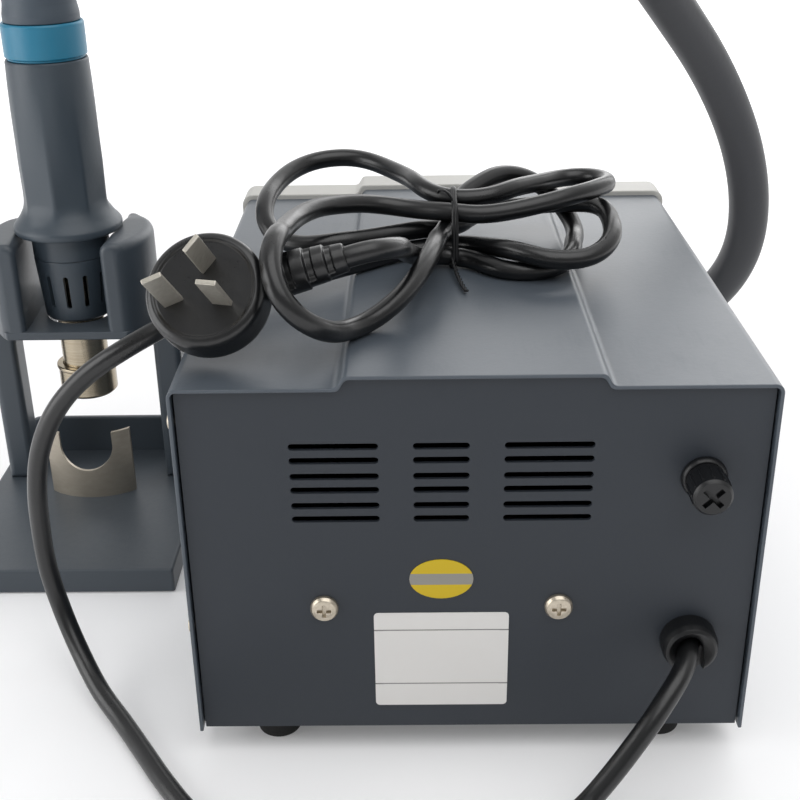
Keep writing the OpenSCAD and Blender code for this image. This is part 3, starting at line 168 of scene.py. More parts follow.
def mesh_piece(name, points, faces, body, slot, replaces):
    """A mesh object in the model's metres that stands for some nodes. It takes one material slot and
    rides on a body; a piece that is blended over two bodies gives None here."""
    mesh = bpy.data.meshes.new(name)
    mesh.from_pydata(np.asarray(points).tolist(), [], [list(map(int, f)) for f in faces])
    mesh.validate()
    outward = bmesh.new()
    outward.from_mesh(mesh)
    bmesh.ops.recalc_face_normals(outward, faces=outward.faces[:])
    wide = [f for f in outward.faces if len(f.verts) > 4]
    bmesh.ops.triangulate(outward, faces=wide, ngon_method="EAR_CLIP")
    outward.to_mesh(mesh)
    outward.free()
    mesh.polygons.foreach_set("use_smooth", [True] * len(mesh.polygons))
    mesh.materials.append(finishes[slot])
    piece = in_scene(name, mesh)
    if body:
        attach(piece, body)
    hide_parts(*replaces)
    print(name, len(mesh.polygons), "faces")
    return piece


def even_light(piece):
    """Large flat faces keep their own shading and only the narrow rounded ones bend the light."""
    piece.modifiers.new("even_light", "WEIGHTED_NORMAL").weight = 80
    return piece


def rounded(corners, size, steps=4, closed=True):
    """Each corner c of an outline gives way to (1-u)^2 a + 2u(1-u) c + u^2 b, where a and b
    lie `size` before and after it. An open outline keeps its two ends."""
    c = np.asarray(corners, float)
    back, on = np.roll(c, 1, 0) - c, np.roll(c, -1, 0) - c
    back_length = np.linalg.norm(back, axis=1, keepdims=True)
    on_length = np.linalg.norm(on, axis=1, keepdims=True)
    size = np.broadcast_to(np.reshape(np.asarray(size, float), (-1, 1)), (len(c), 1)).copy()
    if not closed:
        size[[0, -1]] = 0
    a = c + back * np.minimum(size / np.maximum(back_length, 1e-9), 0.46)
    b = c + on * np.minimum(size / np.maximum(on_length, 1e-9), 0.46)
    u = np.linspace(0, 1, steps)[None, :, None]
    curve = (1 - u) ** 2 * a[:, None] + 2 * u * (1 - u) * c[:, None] + u**2 * b[:, None]
    line = curve.reshape(-1, c.shape[1])
    keep = np.linalg.norm(line - np.roll(line, 1, 0), axis=1) > 1e-6
    keep[0] = True
    return line[keep]


def turned(profile, sides=64, closed=False, swell=None):
    """Points (r cos a, r sin a, h) for each (r, h) of the profile and each angle a. A point of the
    profile on the axis becomes one pole. swell(a, h) scales the radius for flats and ribs."""
    profile = np.asarray(profile, float)
    a = np.linspace(0, 2 * math.pi, sides, endpoint=False)[None]
    r, h = profile[:, :1], profile[:, 1:2] + 0 * a
    r = r * (swell(a, h) if swell else 1.0) + 0 * a
    points = np.stack([r * np.cos(a), r * np.sin(a), h], -1).reshape(-1, 3)
    faces = grid_faces(len(profile), sides, wrap_rows=closed)
    index = np.arange(len(points)).reshape(-1, sides)
    index[profile[:, 0] < 1e-6] = index[profile[:, 0] < 1e-6][:, :1]
    faces = index.reshape(-1)[faces]
    return points, [list(dict.fromkeys(f)) for f in faces.tolist()]


def joined(parts):
    """Several (points, faces) pairs as one, each part's faces counted on from the points before it."""
    starts = np.cumsum([0] + [len(points) for points, _ in parts])
    faces = [[int(i) + int(start) for i in face] for (_, part), start in zip(parts, starts) for face in part]
    return np.vstack([points for points, _ in parts]), faces


# %% [markdown]
# ## Smooth routes and tubes
# A cord is a circle carried along a route. The route's few points are joined by a
# Catmull-Rom curve, which passes through all of them, and then cut into equal steps.
# The circle's side direction is carried from step to step so that it never twists.


# %% Routes and tubes
def smooth_route(points, step=0.002):
    """Catmull-Rom through the points: with u from 0 to 1 between p1 and p2, the point is
    (2 p1 + (p2 - p0) u + (2 p0 - 5 p1 + 4 p2 - p3) u^2 + (3 p1 - p0 - 3 p2 + p3) u^3) / 2."""
    p = np.vstack([2 * points[0] - points[1], points, 2 * points[-1] - points[-2]])
    u = np.linspace(0, 1, 24, endpoint=False)[None, :, None]
    p0, p1, p2, p3 = (p[k : len(p) - 3 + k, None, :] for k in range(4))
    curve = 0.5 * (2 * p1 + (p2 - p0) * u + (2 * p0 - 5 * p1 + 4 * p2 - p3) * u**2
                   + (3 * p1 - p0 - 3 * p2 + p3) * u**3)
    return even_steps(np.vstack([curve.reshape(-1, 3), points[-1:]]), step)


def even_steps(line, step):
    """The same line in equal steps, each coordinate read off against the length walked so far."""
    walked = np.concatenate([[0], np.cumsum(np.linalg.norm(np.diff(line, axis=0), axis=1))])
    marks = np.linspace(0, walked[-1], max(2, int(round(walked[-1] / step)) + 1))
    return np.stack([np.interp(marks, walked, line[:, k]) for k in range(3)], -1)


def relaxed(line, rounds, share=0.5):
    """Evens out a line's bends: each inner point moves towards the middle of its neighbours."""
    line = line.copy()
    for _ in range(rounds):
        line[1:-1] += share * (0.5 * (line[:-2] + line[2:]) - line[1:-1])
    return line


def length_of(line):
    """Sum of the distances from point to point."""
    return float(np.linalg.norm(np.diff(line, axis=0), axis=1).sum())


def side_frames(line):
    """Tangent, side and third direction at every step, the side carried on without twist."""
    tangent = np.gradient(line, axis=0)
    tangent /= np.linalg.norm(tangent, axis=1, keepdims=True)
    side = np.zeros_like(tangent)
    start = np.cross(tangent[0], [0, 0, 1] if abs(tangent[0][2]) < 0.8 else [1, 0, 0])
    side[0] = start / np.linalg.norm(start)
    for k in range(1, len(line)):
        s = side[k - 1] - (side[k - 1] @ tangent[k]) * tangent[k]
        side[k] = s / np.linalg.norm(s)
    return tangent, side, np.cross(tangent, side)


def tube_points(line, radius, sides):
    """Ring k, point j: line_k + radius_k (cos(2 pi j / sides) side_k + sin(2 pi j / sides) third_k)."""
    _, side, third = side_frames(line)
    turn = np.linspace(0, 2 * math.pi, sides, endpoint=False)
    radius = np.broadcast_to(np.asarray(radius, float), (len(line),))[:, None, None]
    ring = np.cos(turn)[None, :, None] * side[:, None, :] + np.sin(turn)[None, :, None] * third[:, None, :]
    return (line[:, None, :] + radius * ring).reshape(-1, 3)


def tube_faces(rings, sides):
    """The grid's faces turned outwards, with a flat face over each end."""
    ends = [list(range(sides)), list(range(rings * sides - 1, (rings - 1) * sides - 1, -1))]
    return grid_faces(rings, sides)[:, ::-1].tolist() + ends


# %% [markdown]
# ## Shared effects for the finishes
# Paint, moulded plastic, rubber and metal all vary a little over their surface. Each
# kind of variation is a node group with named inputs, built once and used in many
# materials with other values: uneven tone, fine grain, brushed lines, worn traces
# and dust that settles on faces that look up.


# %% Node group helper
def new_group(name, inputs, outputs):
    """An empty shader group; inputs map a name to (type, default), outputs to a type."""
    group = bpy.data.node_groups.new(name, "ShaderNodeTree")
    for label, (kind, value) in inputs.items():
        socket = group.interface.new_socket(label, in_out="INPUT", socket_type="NodeSocket" + kind)
        socket.default_value = value
    for label, kind in outputs.items():
        group.interface.new_socket(label, in_out="OUTPUT", socket_type="NodeSocket" + kind)
    return group, group.nodes.new("NodeGroupInput"), group.nodes.new("NodeGroupOutput")


def fed(tree, made, links):
    """Gives a node its inputs: a socket is linked, a value is written."""
    for key, value in links.items():
        if isinstance(value, bpy.types.NodeSocket):
            tree.links.new(value, made.inputs[key])
        else:
            made.inputs[key].default_value = value
    return made


def node(tree, kind, links=None, **settings):
    """Adds a node and sets its properties, then its inputs."""
    made = tree.nodes.new("ShaderNode" + kind)
    for key, value in settings.items():
        setattr(made, key, value)
    return fed(tree, made, links or {})


def math_node(tree, operation, a, b=0.0, clamp=False):
    """One sum on two values or sockets."""
    return node(tree, "Math", {0: a, 1: b}, operation=operation, use_clamp=clamp).outputs[0]


def noise(tree, where, scale, detail=3.0, rough=0.5):
    """Noise between 0 and 1 over the object's own coordinates."""
    return node(tree, "TexNoise", {"Vector": where, "Scale": scale, "Detail": detail, "Roughness": rough}).outputs[0]


def colour_mix(tree, share, a, b):
    """Mix of two colours by a share. In this node colours are inputs 6 and 7 and output 2."""
    return node(tree, "Mix", {0: share, 6: a, 7: b}, data_type="RGBA").outputs[2]


def over_object(tree):
    """The object's own coordinates, which stay on the piece when it moves."""
    return node(tree, "TexCoord").outputs["Object"]


def height_over_table(tree):
    """The upright part of those coordinates, in metres."""
    return node(tree, "SeparateXYZ", {0: over_object(tree)}).outputs["Z"]


# %% Uneven tone
uneven_tone, given, gives = new_group(
    "uneven_tone",
    {"Colour": ("Color", (0.5, 0.5, 0.5, 1)), "Patch": ("Float", 18.0), "Amount": ("Float", 0.1)},
    {"Colour": "Color", "Mask": "Float"})
where = over_object(uneven_tone)
patches = noise(uneven_tone, where, given.outputs["Patch"], 4.0, 0.55)
swing = math_node(uneven_tone, "MULTIPLY", math_node(uneven_tone, "SUBTRACT", patches, 0.5), given.outputs["Amount"])
value = math_node(uneven_tone, "ADD", 1.0, math_node(uneven_tone, "MULTIPLY", swing, 2.0))
tinted = node(uneven_tone, "HueSaturation", {"Color": given.outputs["Colour"], "Value": value})
uneven_tone.links.new(tinted.outputs[0], gives.inputs["Colour"])
uneven_tone.links.new(patches, gives.inputs["Mask"])

# %% Fine grain
fine_grain, given, gives = new_group(
    "fine_grain",
    {"Grain": ("Float", 2000.0), "Softness": ("Float", 0.35)},
    {"Height": "Float", "Mask": "Float"})
where = over_object(fine_grain)
pits = noise(fine_grain, where, given.outputs["Grain"], 2.0, 0.5)
waves = noise(fine_grain, where, math_node(fine_grain, "MULTIPLY", given.outputs["Grain"], 0.22), 1.0, 0.4)
height = math_node(fine_grain, "ADD", math_node(fine_grain, "MULTIPLY", pits, given.outputs["Softness"]), waves)
fine_grain.links.new(height, gives.inputs["Height"])
fine_grain.links.new(pits, gives.inputs["Mask"])

# %% Brushed lines
brushed_lines, given, gives = new_group(
    "brushed_lines",
    {"Stretch": ("Vector", (1.0, 1.0, 1.0)), "Lines": ("Float", 900.0)},
    {"Height": "Float", "Mask": "Float"})
where = over_object(brushed_lines)
drawn = node(brushed_lines, "VectorMath", {0: where, 1: given.outputs["Stretch"]}, operation="MULTIPLY").outputs[0]
lines = noise(brushed_lines, drawn, given.outputs["Lines"], 3.0, 0.6)
brushed_lines.links.new(lines, gives.inputs["Height"])
brushed_lines.links.new(lines, gives.inputs["Mask"])

# %% Dust on upward faces
settled_dust, given, gives = new_group(
    "settled_dust",
    {"Colour": ("Color", (0.5, 0.5, 0.5, 1)), "Dust": ("Color", (0.6, 0.6, 0.6, 1)), "Amount": ("Float", 0.1)},
    {"Colour": "Color", "Mask": "Float"})
where = over_object(settled_dust)
facing = node(settled_dust, "SeparateXYZ", {0: node(settled_dust, "NewGeometry").outputs["Normal"]}).outputs["Z"]
upward = math_node(settled_dust, "MULTIPLY", math_node(settled_dust, "MAXIMUM", facing, 0.0), given.outputs["Amount"])
clumps = noise(settled_dust, where, 260.0, 6.0, 0.7)
specks = math_node(settled_dust, "ADD", math_node(settled_dust, "MULTIPLY", clumps, 1.2), -0.1)
dusty = math_node(settled_dust, "MULTIPLY", upward, specks, clamp=True)
coloured = colour_mix(settled_dust, dusty, given.outputs["Colour"], given.outputs["Dust"])
settled_dust.links.new(coloured, gives.inputs["Colour"])
settled_dust.links.new(dusty, gives.inputs["Mask"])

# %% Worn traces
worn_traces, given, gives = new_group(
    "worn_traces",
    {"Trace": ("Float", 60.0), "Share": ("Float", 0.1)},
    {"Mask": "Float"})
where = over_object(worn_traces)
bent = noise(worn_traces, where, 40.0, 2.0)
slanted = node(worn_traces, "VectorMath", {0: where, 1: (9.0, 1.0, 3.0)}, operation="MULTIPLY").outputs[0]
strokes = noise(worn_traces, slanted, given.outputs["Trace"], 8.0, 0.75)
deep = math_node(worn_traces, "SUBTRACT", math_node(worn_traces, "MULTIPLY", strokes, bent), 0.30)
sharp = math_node(worn_traces, "MULTIPLY", deep, 8.0, clamp=True)
traces = math_node(worn_traces, "MULTIPLY", sharp, given.outputs["Share"])
worn_traces.links.new(traces, gives.inputs["Mask"])
print("shared groups:", sorted(g.name for g in bpy.data.node_groups))


# %% [markdown]
# ## The finishes
# A finish is a Principled shader whose colour, roughness and bump come from those
# groups. Most of the station differs only in numbers, so one function builds a finish
# from them: colour, roughness, size and depth of the grain, dust and traces of use.


# %% Finish builder
def shade(code):
    """A colour written as six hex digits, from display values to linear light."""
    v = np.array([int(code[k : k + 2], 16) for k in (1, 3, 5)]) / 255
    return (*np.where(v <= 0.04045, v / 12.92, ((v + 0.055) / 1.055) ** 2.4).tolist(), 1.0)


def placed_group(tree, group, links):
    """One use of a shared group with its own values."""
    return node(tree, "Group", links, node_tree=group).outputs


finishes = {}


def finish(name, colour, rough, tone=0.06, patch=22.0, grain=2200.0, depth=0.00004, swing=0.10, dust=0.0,
           traces=0.05, metal=0.0, coat=0.0, coat_rough=0.3, specular=0.5, stretch=None, lines=700.0, second=None):
    """Colour with uneven tone and dust; roughness = rough + grain and traces; bump from grain or lines."""
    material = bpy.data.materials.new(name)
    material.use_nodes = True
    tree = material.node_tree
    shader = tree.nodes["Principled BSDF"]
    toned = placed_group(tree, uneven_tone, {"Colour": shade(colour), "Patch": patch, "Amount": tone})
    tint = toned["Colour"]
    if stretch:
        surface = placed_group(tree, brushed_lines, {"Stretch": stretch, "Lines": lines})
        tint = colour_mix(tree, surface["Mask"], tint, shade(second or colour))
    else:
        surface = placed_group(tree, fine_grain, {"Grain": grain, "Softness": 0.35})
    if dust:
        tint = placed_group(tree, settled_dust, {"Colour": tint, "Dust": shade("#b9b7b2"), "Amount": dust})["Colour"]
    worn = placed_group(tree, worn_traces, {"Trace": 55.0, "Share": traces})["Mask"]
    varied = math_node(tree, "MULTIPLY", math_node(tree, "SUBTRACT", surface["Mask"], 0.5), swing)
    slow = math_node(tree, "MULTIPLY", math_node(tree, "SUBTRACT", toned["Mask"], 0.5), swing)
    roughness = math_node(tree, "ADD", math_node(tree, "ADD", varied, slow),
                          math_node(tree, "ADD", rough, worn), clamp=True)
    bump = node(tree, "Bump", {"Height": surface["Height"], "Distance": depth, "Strength": 1.0})
    tree.links.new(tint, shader.inputs["Base Color"])
    tree.links.new(roughness, shader.inputs["Roughness"])
    tree.links.new(bump.outputs[0], shader.inputs["Normal"])
    shader.inputs["Metallic"].default_value = metal
    shader.inputs["Coat Weight"].default_value = coat
    shader.inputs["Coat Roughness"].default_value = coat_rough
    shader.inputs["Specular IOR Level"].default_value = specular
    finishes[name] = material


# %% [markdown]
# The cover and the stand have two like slate grey paints with a satin face, so both
# catch the white room. The panel is duller. Rubber and cord jackets are near black with
# a broad sheen, and the metal parts differ in the direction of their brushing.

# %% Finishes of the case
finish("cover_paint", "#4d555e", 0.38, tone=0.03, grain=2600, depth=0.00003, swing=0.06, dust=0.04, coat=0.20,
       coat_rough=0.36)
finish("panel_paint", "#32373e", 0.48, tone=0.04, grain=2400, depth=0.00004, swing=0.08, specular=0.4)
finish("bezel_plastic", "#bfbeb9", 0.42, tone=0.03, grain=1500, depth=0.00004, dust=0.04)
finish("panel_film", "#c9c6bb", 0.38, tone=0.03, grain=1800, depth=0.00002)
finish("black_plastic", "#111214", 0.36, tone=0.10, grain=1600, depth=0.00005)
finish("key_plastic", "#dcdad2", 0.45, tone=0.04, grain=1800, depth=0.00003)
finish("foot_rubber", "#141414", 0.75, tone=0.15, grain=1400, depth=0.00008)
finish("label_film", "#efedea", 0.5, tone=0.02, grain=3000, depth=0.00001)
finish("sticker_yellow", "#d9ba12", 0.42, tone=0.04, grain=3000, depth=0.00001)
finish("screw_nickel", "#d9d0c0", 0.3, tone=0.06, metal=0.85, stretch=(3.0, 3.0, 3.0), lines=400, second="#b7ab98",
       depth=0.00001)

# %% Finishes inside the case
finish("circuit_board", "#1f6b45", 0.45, tone=0.10, patch=60, grain=900, depth=0.00003)
finish("sink_aluminium", "#b9bcc0", 0.35, metal=1.0, stretch=(1.0, 1.0, 0.05), lines=900, second="#9a9da2",
       depth=0.00001)
finish("core_lacquer", "#5a4a3c", 0.5, tone=0.14, patch=80, grain=1200, depth=0.00006)
finish("motor_steel", "#a9abae", 0.38, metal=1.0, stretch=(1.0, 1.0, 8.0), lines=300, second="#85888c", depth=0.00001)
finish("wheel_plastic", "#c3c6ca", 0.4, tone=0.05, grain=1600, depth=0.00003)

# %% Finishes of the stand, the handle and the cords
finish("stand_paint", "#3d454d", 0.42, tone=0.04, grain=2300, depth=0.00004, swing=0.08, dust=0.05, coat=0.12)
finish("rest_steel", "#b5ada0", 0.42, metal=0.75, stretch=(0.4, 0.4, 1.0), lines=500, second="#a39b8d",
       depth=0.000004)
finish("grip_plastic", "#3a444d", 0.42, tone=0.04, grain=2000, depth=0.00004, swing=0.08, coat=0.08)
finish("ring_teal", "#1f7796", 0.36, tone=0.05, grain=2000, depth=0.00003)
finish("sleeve_rubber", "#454f59", 0.5, tone=0.05, grain=1700, depth=0.00005)
finish("tube_steel", "#c1b7a4", 0.25, metal=1.0, stretch=(0.2, 0.2, 6.0), lines=500, second="#8c7f6a", depth=0.00001)
finish("ceramic_white", "#dedad0", 0.55, tone=0.06, patch=50, grain=1200, depth=0.00005)
finish("hose_rubber", "#303237", 0.42, tone=0.08, patch=30, grain=1500, depth=0.00005, swing=0.10, dust=0.03)
finish("lead_rubber", "#0b0c0e", 0.31, tone=0.14, patch=40, grain=1500, depth=0.00005, swing=0.14, specular=0.6,
       coat=0.08, coat_rough=0.25)
finish("blade_nickel", "#d8d4ca", 0.36, metal=0.7, stretch=(1.0, 1.0, 0.2), lines=700, second="#b9b3a6",
       depth=0.00001)

# %% [markdown]
# Glass needs its own settings: the fuse's tube is clear, and the display's window is a
# dark red sheet that shows its digits only when they are lit.

# %% Clear and tinted pieces
finish("fuse_glass", "#dfe6e6", 0.06, tone=0.02, metal=0.0, depth=0.0)
finishes["fuse_glass"].node_tree.nodes["Principled BSDF"].inputs["Transmission Weight"].default_value = 0.85
finish("window_tint", "#2a0809", 0.14, tone=0.05, coat=0.3, coat_rough=0.05, depth=0.0)

# %% [markdown]
# The yellow sticker carries a plain grey band across its middle, and the rating label
# two ruled lines. Both are level stripes, so each is drawn by the height over the table:
# where it differs from a stripe's middle by less than half its width, the print shows.

# %% Stripes on the sticker and the label
BAND_MIDDLE, BAND_HALF = 71.3, 2.1
RULED_MIDDLES, RULED_HALF = (29.12, 51.16), 0.25


def striped(name, middles, half, print_colour):
    """Print shows where |height - middle| < half for any of the middles, all in mm."""
    tree = finishes[name].node_tree
    height = height_over_table(tree)
    beside = [math_node(tree, "ABSOLUTE", math_node(tree, "SUBTRACT", height, z * MM)) for z in middles]
    stripes = [math_node(tree, "LESS_THAN", distance, half * MM) for distance in beside]
    shows = stripes[0] if len(stripes) == 1 else math_node(tree, "MAXIMUM", *stripes)
    base = tree.nodes["Principled BSDF"].inputs["Base Color"]
    ground = base.links[0].from_socket
    tree.links.new(colour_mix(tree, shows, ground, shade(print_colour)), base)


striped("sticker_yellow", [BAND_MIDDLE], BAND_HALF, "#9a978f")
striped("label_film", RULED_MIDDLES, RULED_HALF, "#8d8b88")
print(len(finishes), "finishes")

# %% Put the finishes on the model's own nodes
for name, piece in frame["nodes"].items():
    for place in piece.material_slots:
        slot_name = place.material.name.split(".")[0] if place.material else ""
        if slot_name in finishes:
            place.material = finishes[slot_name]
print(len(frame["nodes"]), "nodes have their finish")

# %% [markdown]
# ## Softened edges
# Nothing on the real station has a knife edge: castings and mouldings have small
# radii, and bent sheet is broken at its edges. Where a solid's shape is right, its
# copy is merged, its flat faces are joined again and a narrow bevel is laid along
# every edge sharper than 28 degrees. This keeps the holes and slots where they are.


# %% Softened copies of solids
SHARP_FROM, MERGE_WITHIN, FLAT_WITHIN = 28, 2e-6, 0.6  # degrees, metres, degrees


def softened(node_name, width):
    """A copy of a node's mesh with each sharp edge replaced by a round one of the given width in mm."""
    solid = frame["nodes"][node_name]
    slot_name = solid.material_slots[0].material.name.split(".")[0]
    shape = bmesh.new()
    shape.from_mesh(solid.data)
    bmesh.ops.remove_doubles(shape, verts=shape.verts[:], dist=MERGE_WITHIN)
    bmesh.ops.dissolve_limit(shape, angle_limit=math.radians(FLAT_WITHIN), verts=shape.verts[:], edges=shape.edges[:])
    sharp = [e for e in shape.edges if len(e.link_faces) == 2 and e.calc_face_angle(0) > math.radians(SHARP_FROM)]
    bmesh.ops.bevel(shape, geom=sharp, offset=width * MM, offset_type="OFFSET", segments=2,
                    profile=0.5, affect="EDGES", clamp_overlap=True)
    bmesh.ops.recalc_face_normals(shape, faces=shape.faces[:])
    mesh = bpy.data.meshes.new(node_name + "_soft")
    shape.to_mesh(mesh)
    shape.free()
    mesh.polygons.foreach_set("use_smooth", [True] * len(mesh.polygons))
    mesh.materials.append(finishes[slot_name])
    copy = in_scene(node_name + "_soft", mesh)
    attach(copy, body_of(solid)[0])
    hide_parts(node_name)
    even_light(copy)
    print(node_name, len(sharp), "edges,", len(mesh.polygons), "faces")
    return copy


# %% Softened pieces
# Widths in mm: mouldings are soft, turned and stamped metal is crisp.
SOFT_EDGES = {"rear_panel": 0.2, "front_panel": 0.4, "display_window": 0.3, "base_pan": 0.2, "hose_socket": 0.35,
              "fuse_holder": 0.3, "fuse_cap": 0.3, "cable_gland": 0.35, "panel_screws": 0.25, "side_screws": 0.2,
              "power_switch": 0.35, "power_rocker": 0.4, "channel_key_1": 0.5, "channel_key_2": 0.5,
              "channel_key_3": 0.5, "heat_up_key": 0.5, "heat_down_key": 0.5, "air_up_key": 0.5,
              "air_down_key": 0.5, "nozzle_rest": 0.3, "heat_collar": 0.35, "plug_blades": 0.3,
              "stand_pads": 0.4, "feet": 0.3}
soft_pieces = {node_name: softened(node_name, width) for node_name, width in SOFT_EDGES.items()}

# %% [markdown]
# The rear panel isn't as wide as the cover: a dark gap runs along both sides. The
# softened copy is drawn in there by six tenths of a millimetre.

# %% Gap beside the rear panel
GAP, PANEL_EDGE = 0.6, 91  # mm; points farther out than the edge belong to the panel's sides
panel_mesh = soft_pieces["rear_panel"].data
panel_points = np.empty(len(panel_mesh.vertices) * 3)
panel_mesh.vertices.foreach_get("co", panel_points)
panel_points = panel_points.reshape(-1, 3)
from_middle = panel_points[:, 0] - station([0, 0, 0])[0]
panel_points[:, 0] -= np.sign(from_middle) * GAP * MM * (np.abs(from_middle) > PANEL_EDGE * MM)
panel_mesh.vertices.foreach_set("co", panel_points.reshape(-1))
panel_mesh.update()
print("panel width", round(float(np.ptp(panel_points[:, 0])) / MM, 1), "mm")

# %% [markdown]
# ## The folded cover
# The cover is one steel sheet of 1.2 mm, bent down at both sides and pressed up along
# its middle. It is worked out as a section carried along the depth: the section's
# outer and inner lines are the same outline grown by 0 and by -1.2 mm, and a short
# profile rounds the cut edges, which catch the light at the rear. Long pressed sheet
# is never quite flat, so its top carries a wave of less than a tenth of a millimetre.


# %% Section of the case
CASE_HALF, CASE_LOW, CASE_SIDE_TOP, CASE_CORNER = 94, 10.5, 141, 3
FIELD_HALF, SLOPE_FOOT, FIELD_RISE = 40, 42.2, 4  # the raised field and the slope beside it


def arc(middle_x, middle_z, radius, start, steps=7):
    """Points (x + r cos a, z + r sin a) over a quarter turn from `start` degrees, one row per radius."""
    a = np.radians(start + np.linspace(0, 90, steps))[None]
    return np.stack([middle_x + radius * np.cos(a), middle_z + radius * np.sin(a)], -1)


def soft_corner(before, corner, after, size, steps=5):
    """The corner gives way to (1-u)^2 a + 2u(1-u) c + u^2 b, `size` away from it on both sides."""
    a = corner + (before - corner) * size / np.linalg.norm(before - corner, axis=-1, keepdims=True)
    b = corner + (after - corner) * size / np.linalg.norm(after - corner, axis=-1, keepdims=True)
    u = np.linspace(0, 1, steps)[None, :, None]
    return (1 - u) ** 2 * a[:, None] + 2 * u * (1 - u) * corner[:, None] + u**2 * b[:, None]


def case_section(grown, lower_corners=True):
    """Outline of the case in x and z grown by each value of `grown`: lower right corner, upper right
    corner, the slope up to the raised field, the slope down, upper left and lower left corner.
    The slope's two ends move sideways by 0.6 of the growth, so it keeps its distance too."""
    g = np.atleast_1d(np.asarray(grown, float))[:, None]
    r = np.maximum(CASE_CORNER + g, 0.8)
    x, low, high = CASE_HALF + g - r, CASE_LOW - g + r, CASE_SIDE_TOP + g - r
    foot, top, field = SLOPE_FOOT + 0.6 * g, FIELD_HALF + 0.6 * g, CASE_SIDE_TOP + g

    def spot(px, pz):
        return np.concatenate([px + 0 * g, pz + 0 * g], -1)

    slope_top = spot(top, field + FIELD_RISE)
    right_half = [arc(x, high, r, 0), soft_corner(spot(90, field), spot(foot, field), slope_top, 1.5),
                  soft_corner(spot(foot, field), slope_top, spot(0, field + FIELD_RISE), 1.5)]
    upper = right_half + [part[:, ::-1] * [-1, 1] for part in right_half[::-1]]
    if lower_corners:
        return np.concatenate([arc(x, low, r, -90)] + upper + [arc(-x, low, r, 180)], 1)
    rising = np.linspace(CASE_LOW, 130, 12)[None]
    sides = [np.stack([0 * z + sx * (CASE_HALF + g), z + 0 * g], -1) for sx, z in ((1, rising), (-1, rising[:, ::-1]))]
    return np.concatenate([sides[0]] + upper + [sides[1]], 1)


# %% Cover
SHEET, COVER_DEPTH = 1.2, 209.0
rows_y = np.linspace(-COVER_DEPTH + 1, -1.2, 24)
outside = np.stack([0 * rows_y, rows_y], -1)
inside = np.stack([0 * rows_y - SHEET, rows_y[::-1]], -1)
rear_cut = rounded([[0, -0.9], [0, 0], [-SHEET, 0], [-SHEET, -0.9]], 0.42, 4, closed=False)
front_cut = rounded([[-SHEET, -COVER_DEPTH + 0.8], [-SHEET, -COVER_DEPTH], [0, -COVER_DEPTH],
                     [0, -COVER_DEPTH + 0.8]], 0.3, 3, closed=False)
across_sheet = np.vstack([outside, rear_cut, inside, front_cut])
outer_line, inner_line = case_section([0.0, -SHEET], lower_corners=False)
share = (across_sheet[:, 0] / -SHEET)[:, None, None]
section = outer_line[None] * (1 - share) + inner_line[None] * share
depth = across_sheet[:, 1][:, None] + 0 * section[..., 0]
wave = (0.05 * np.sin(section[..., 0] / 17.0 + 0.6) * np.sin(depth / 23.0)
        + 0.03 * np.sin(depth / 9.0 + section[..., 1] / 21))
fade = np.clip(-depth / 12, 0, 1) * np.clip((depth + COVER_DEPTH) / 12, 0, 1) * (section[..., 1] > 140)
cover_points = np.stack([section[..., 0], depth, section[..., 1] + (wave - 0.08) * fade], -1)
rings, around = section.shape[:2]
cover_faces = grid_faces(rings, around, wrap_rows=True, wrap_columns=False).tolist()
cover_faces += [(np.arange(rings) * around).tolist(), (np.arange(rings) * around + around - 1).tolist()]
even_light(mesh_piece("folded_cover", station(cover_points.reshape(-1, 3)), cover_faces,
                      "station", "cover_paint", ["cover"]))

# %% [markdown]
# ## The front bezel
# A hollow moulding closes the front. Its outline follows the case's stepped section,
# so it is the same section again, grown more or less from ring to ring: a profile in
# growth and depth, rounded at each corner, is carried once round the case.

# %% Bezel
bezel_profile = rounded([[-1.3, -201], [-1.3, -209], [2, -209], [2, -226], [-3, -231], [-4.9, -231], [-5.9, -229.5],
                         [-5.9, -228], [-3.3, -228], [-3.3, -201]],
                        [0.3, 0.2, 0.7, 1.5, 2.4, 0.6, 0.5, 0.3, 0.3, 0.3], 5)
bezel_rings = case_section(bezel_profile[:, 0])
bezel_y = bezel_profile[:, 1][:, None] + 0 * bezel_rings[..., 0]
bezel_points = np.stack([bezel_rings[..., 0], bezel_y, bezel_rings[..., 1]], -1)
even_light(mesh_piece("bezel_moulding", station(bezel_points.reshape(-1, 3)),
                      grid_faces(*bezel_rings.shape[:2], wrap_rows=True), "station", "bezel_plastic",
                      ["front_bezel"]))

# %% [markdown]
# ## The handle's turned parts
# Grip, ring, sleeve, tube and nozzle share one upright axis. Each is a profile of
# radius and height turned round that axis, which is how such parts are made: moulded
# in round tools, or rolled and spun from sheet.

# %% Pieces on the handle's axis
HANDLE_AXIS = np.array([170.0, -185.0, 0.0])


def on_handle(name, profile, sides, body, slot, node_name, swell=None):
    """A closed profile of radius and height in mm, turned round the handle's axis, as a piece."""
    points, faces = turned(profile, sides, closed=True, swell=swell)
    return even_light(mesh_piece(name, station(points + HANDLE_AXIS), faces, body, slot, [node_name]))


# %% [markdown]
# The grip isn't quite round: eight flats at its lower end fade upwards, so the fingers
# feel which way it points. Its radius is scaled by an octagon whose share drops with
# the height, and a flare leads from the flats into the flange that rests in the cradle.

# %% Grip
GRIP_LOW = 141.0
FLATS, CRISPNESS, DRAWN_IN = 8, 160, 0.94  # how many, the power p, and the radius over the flats


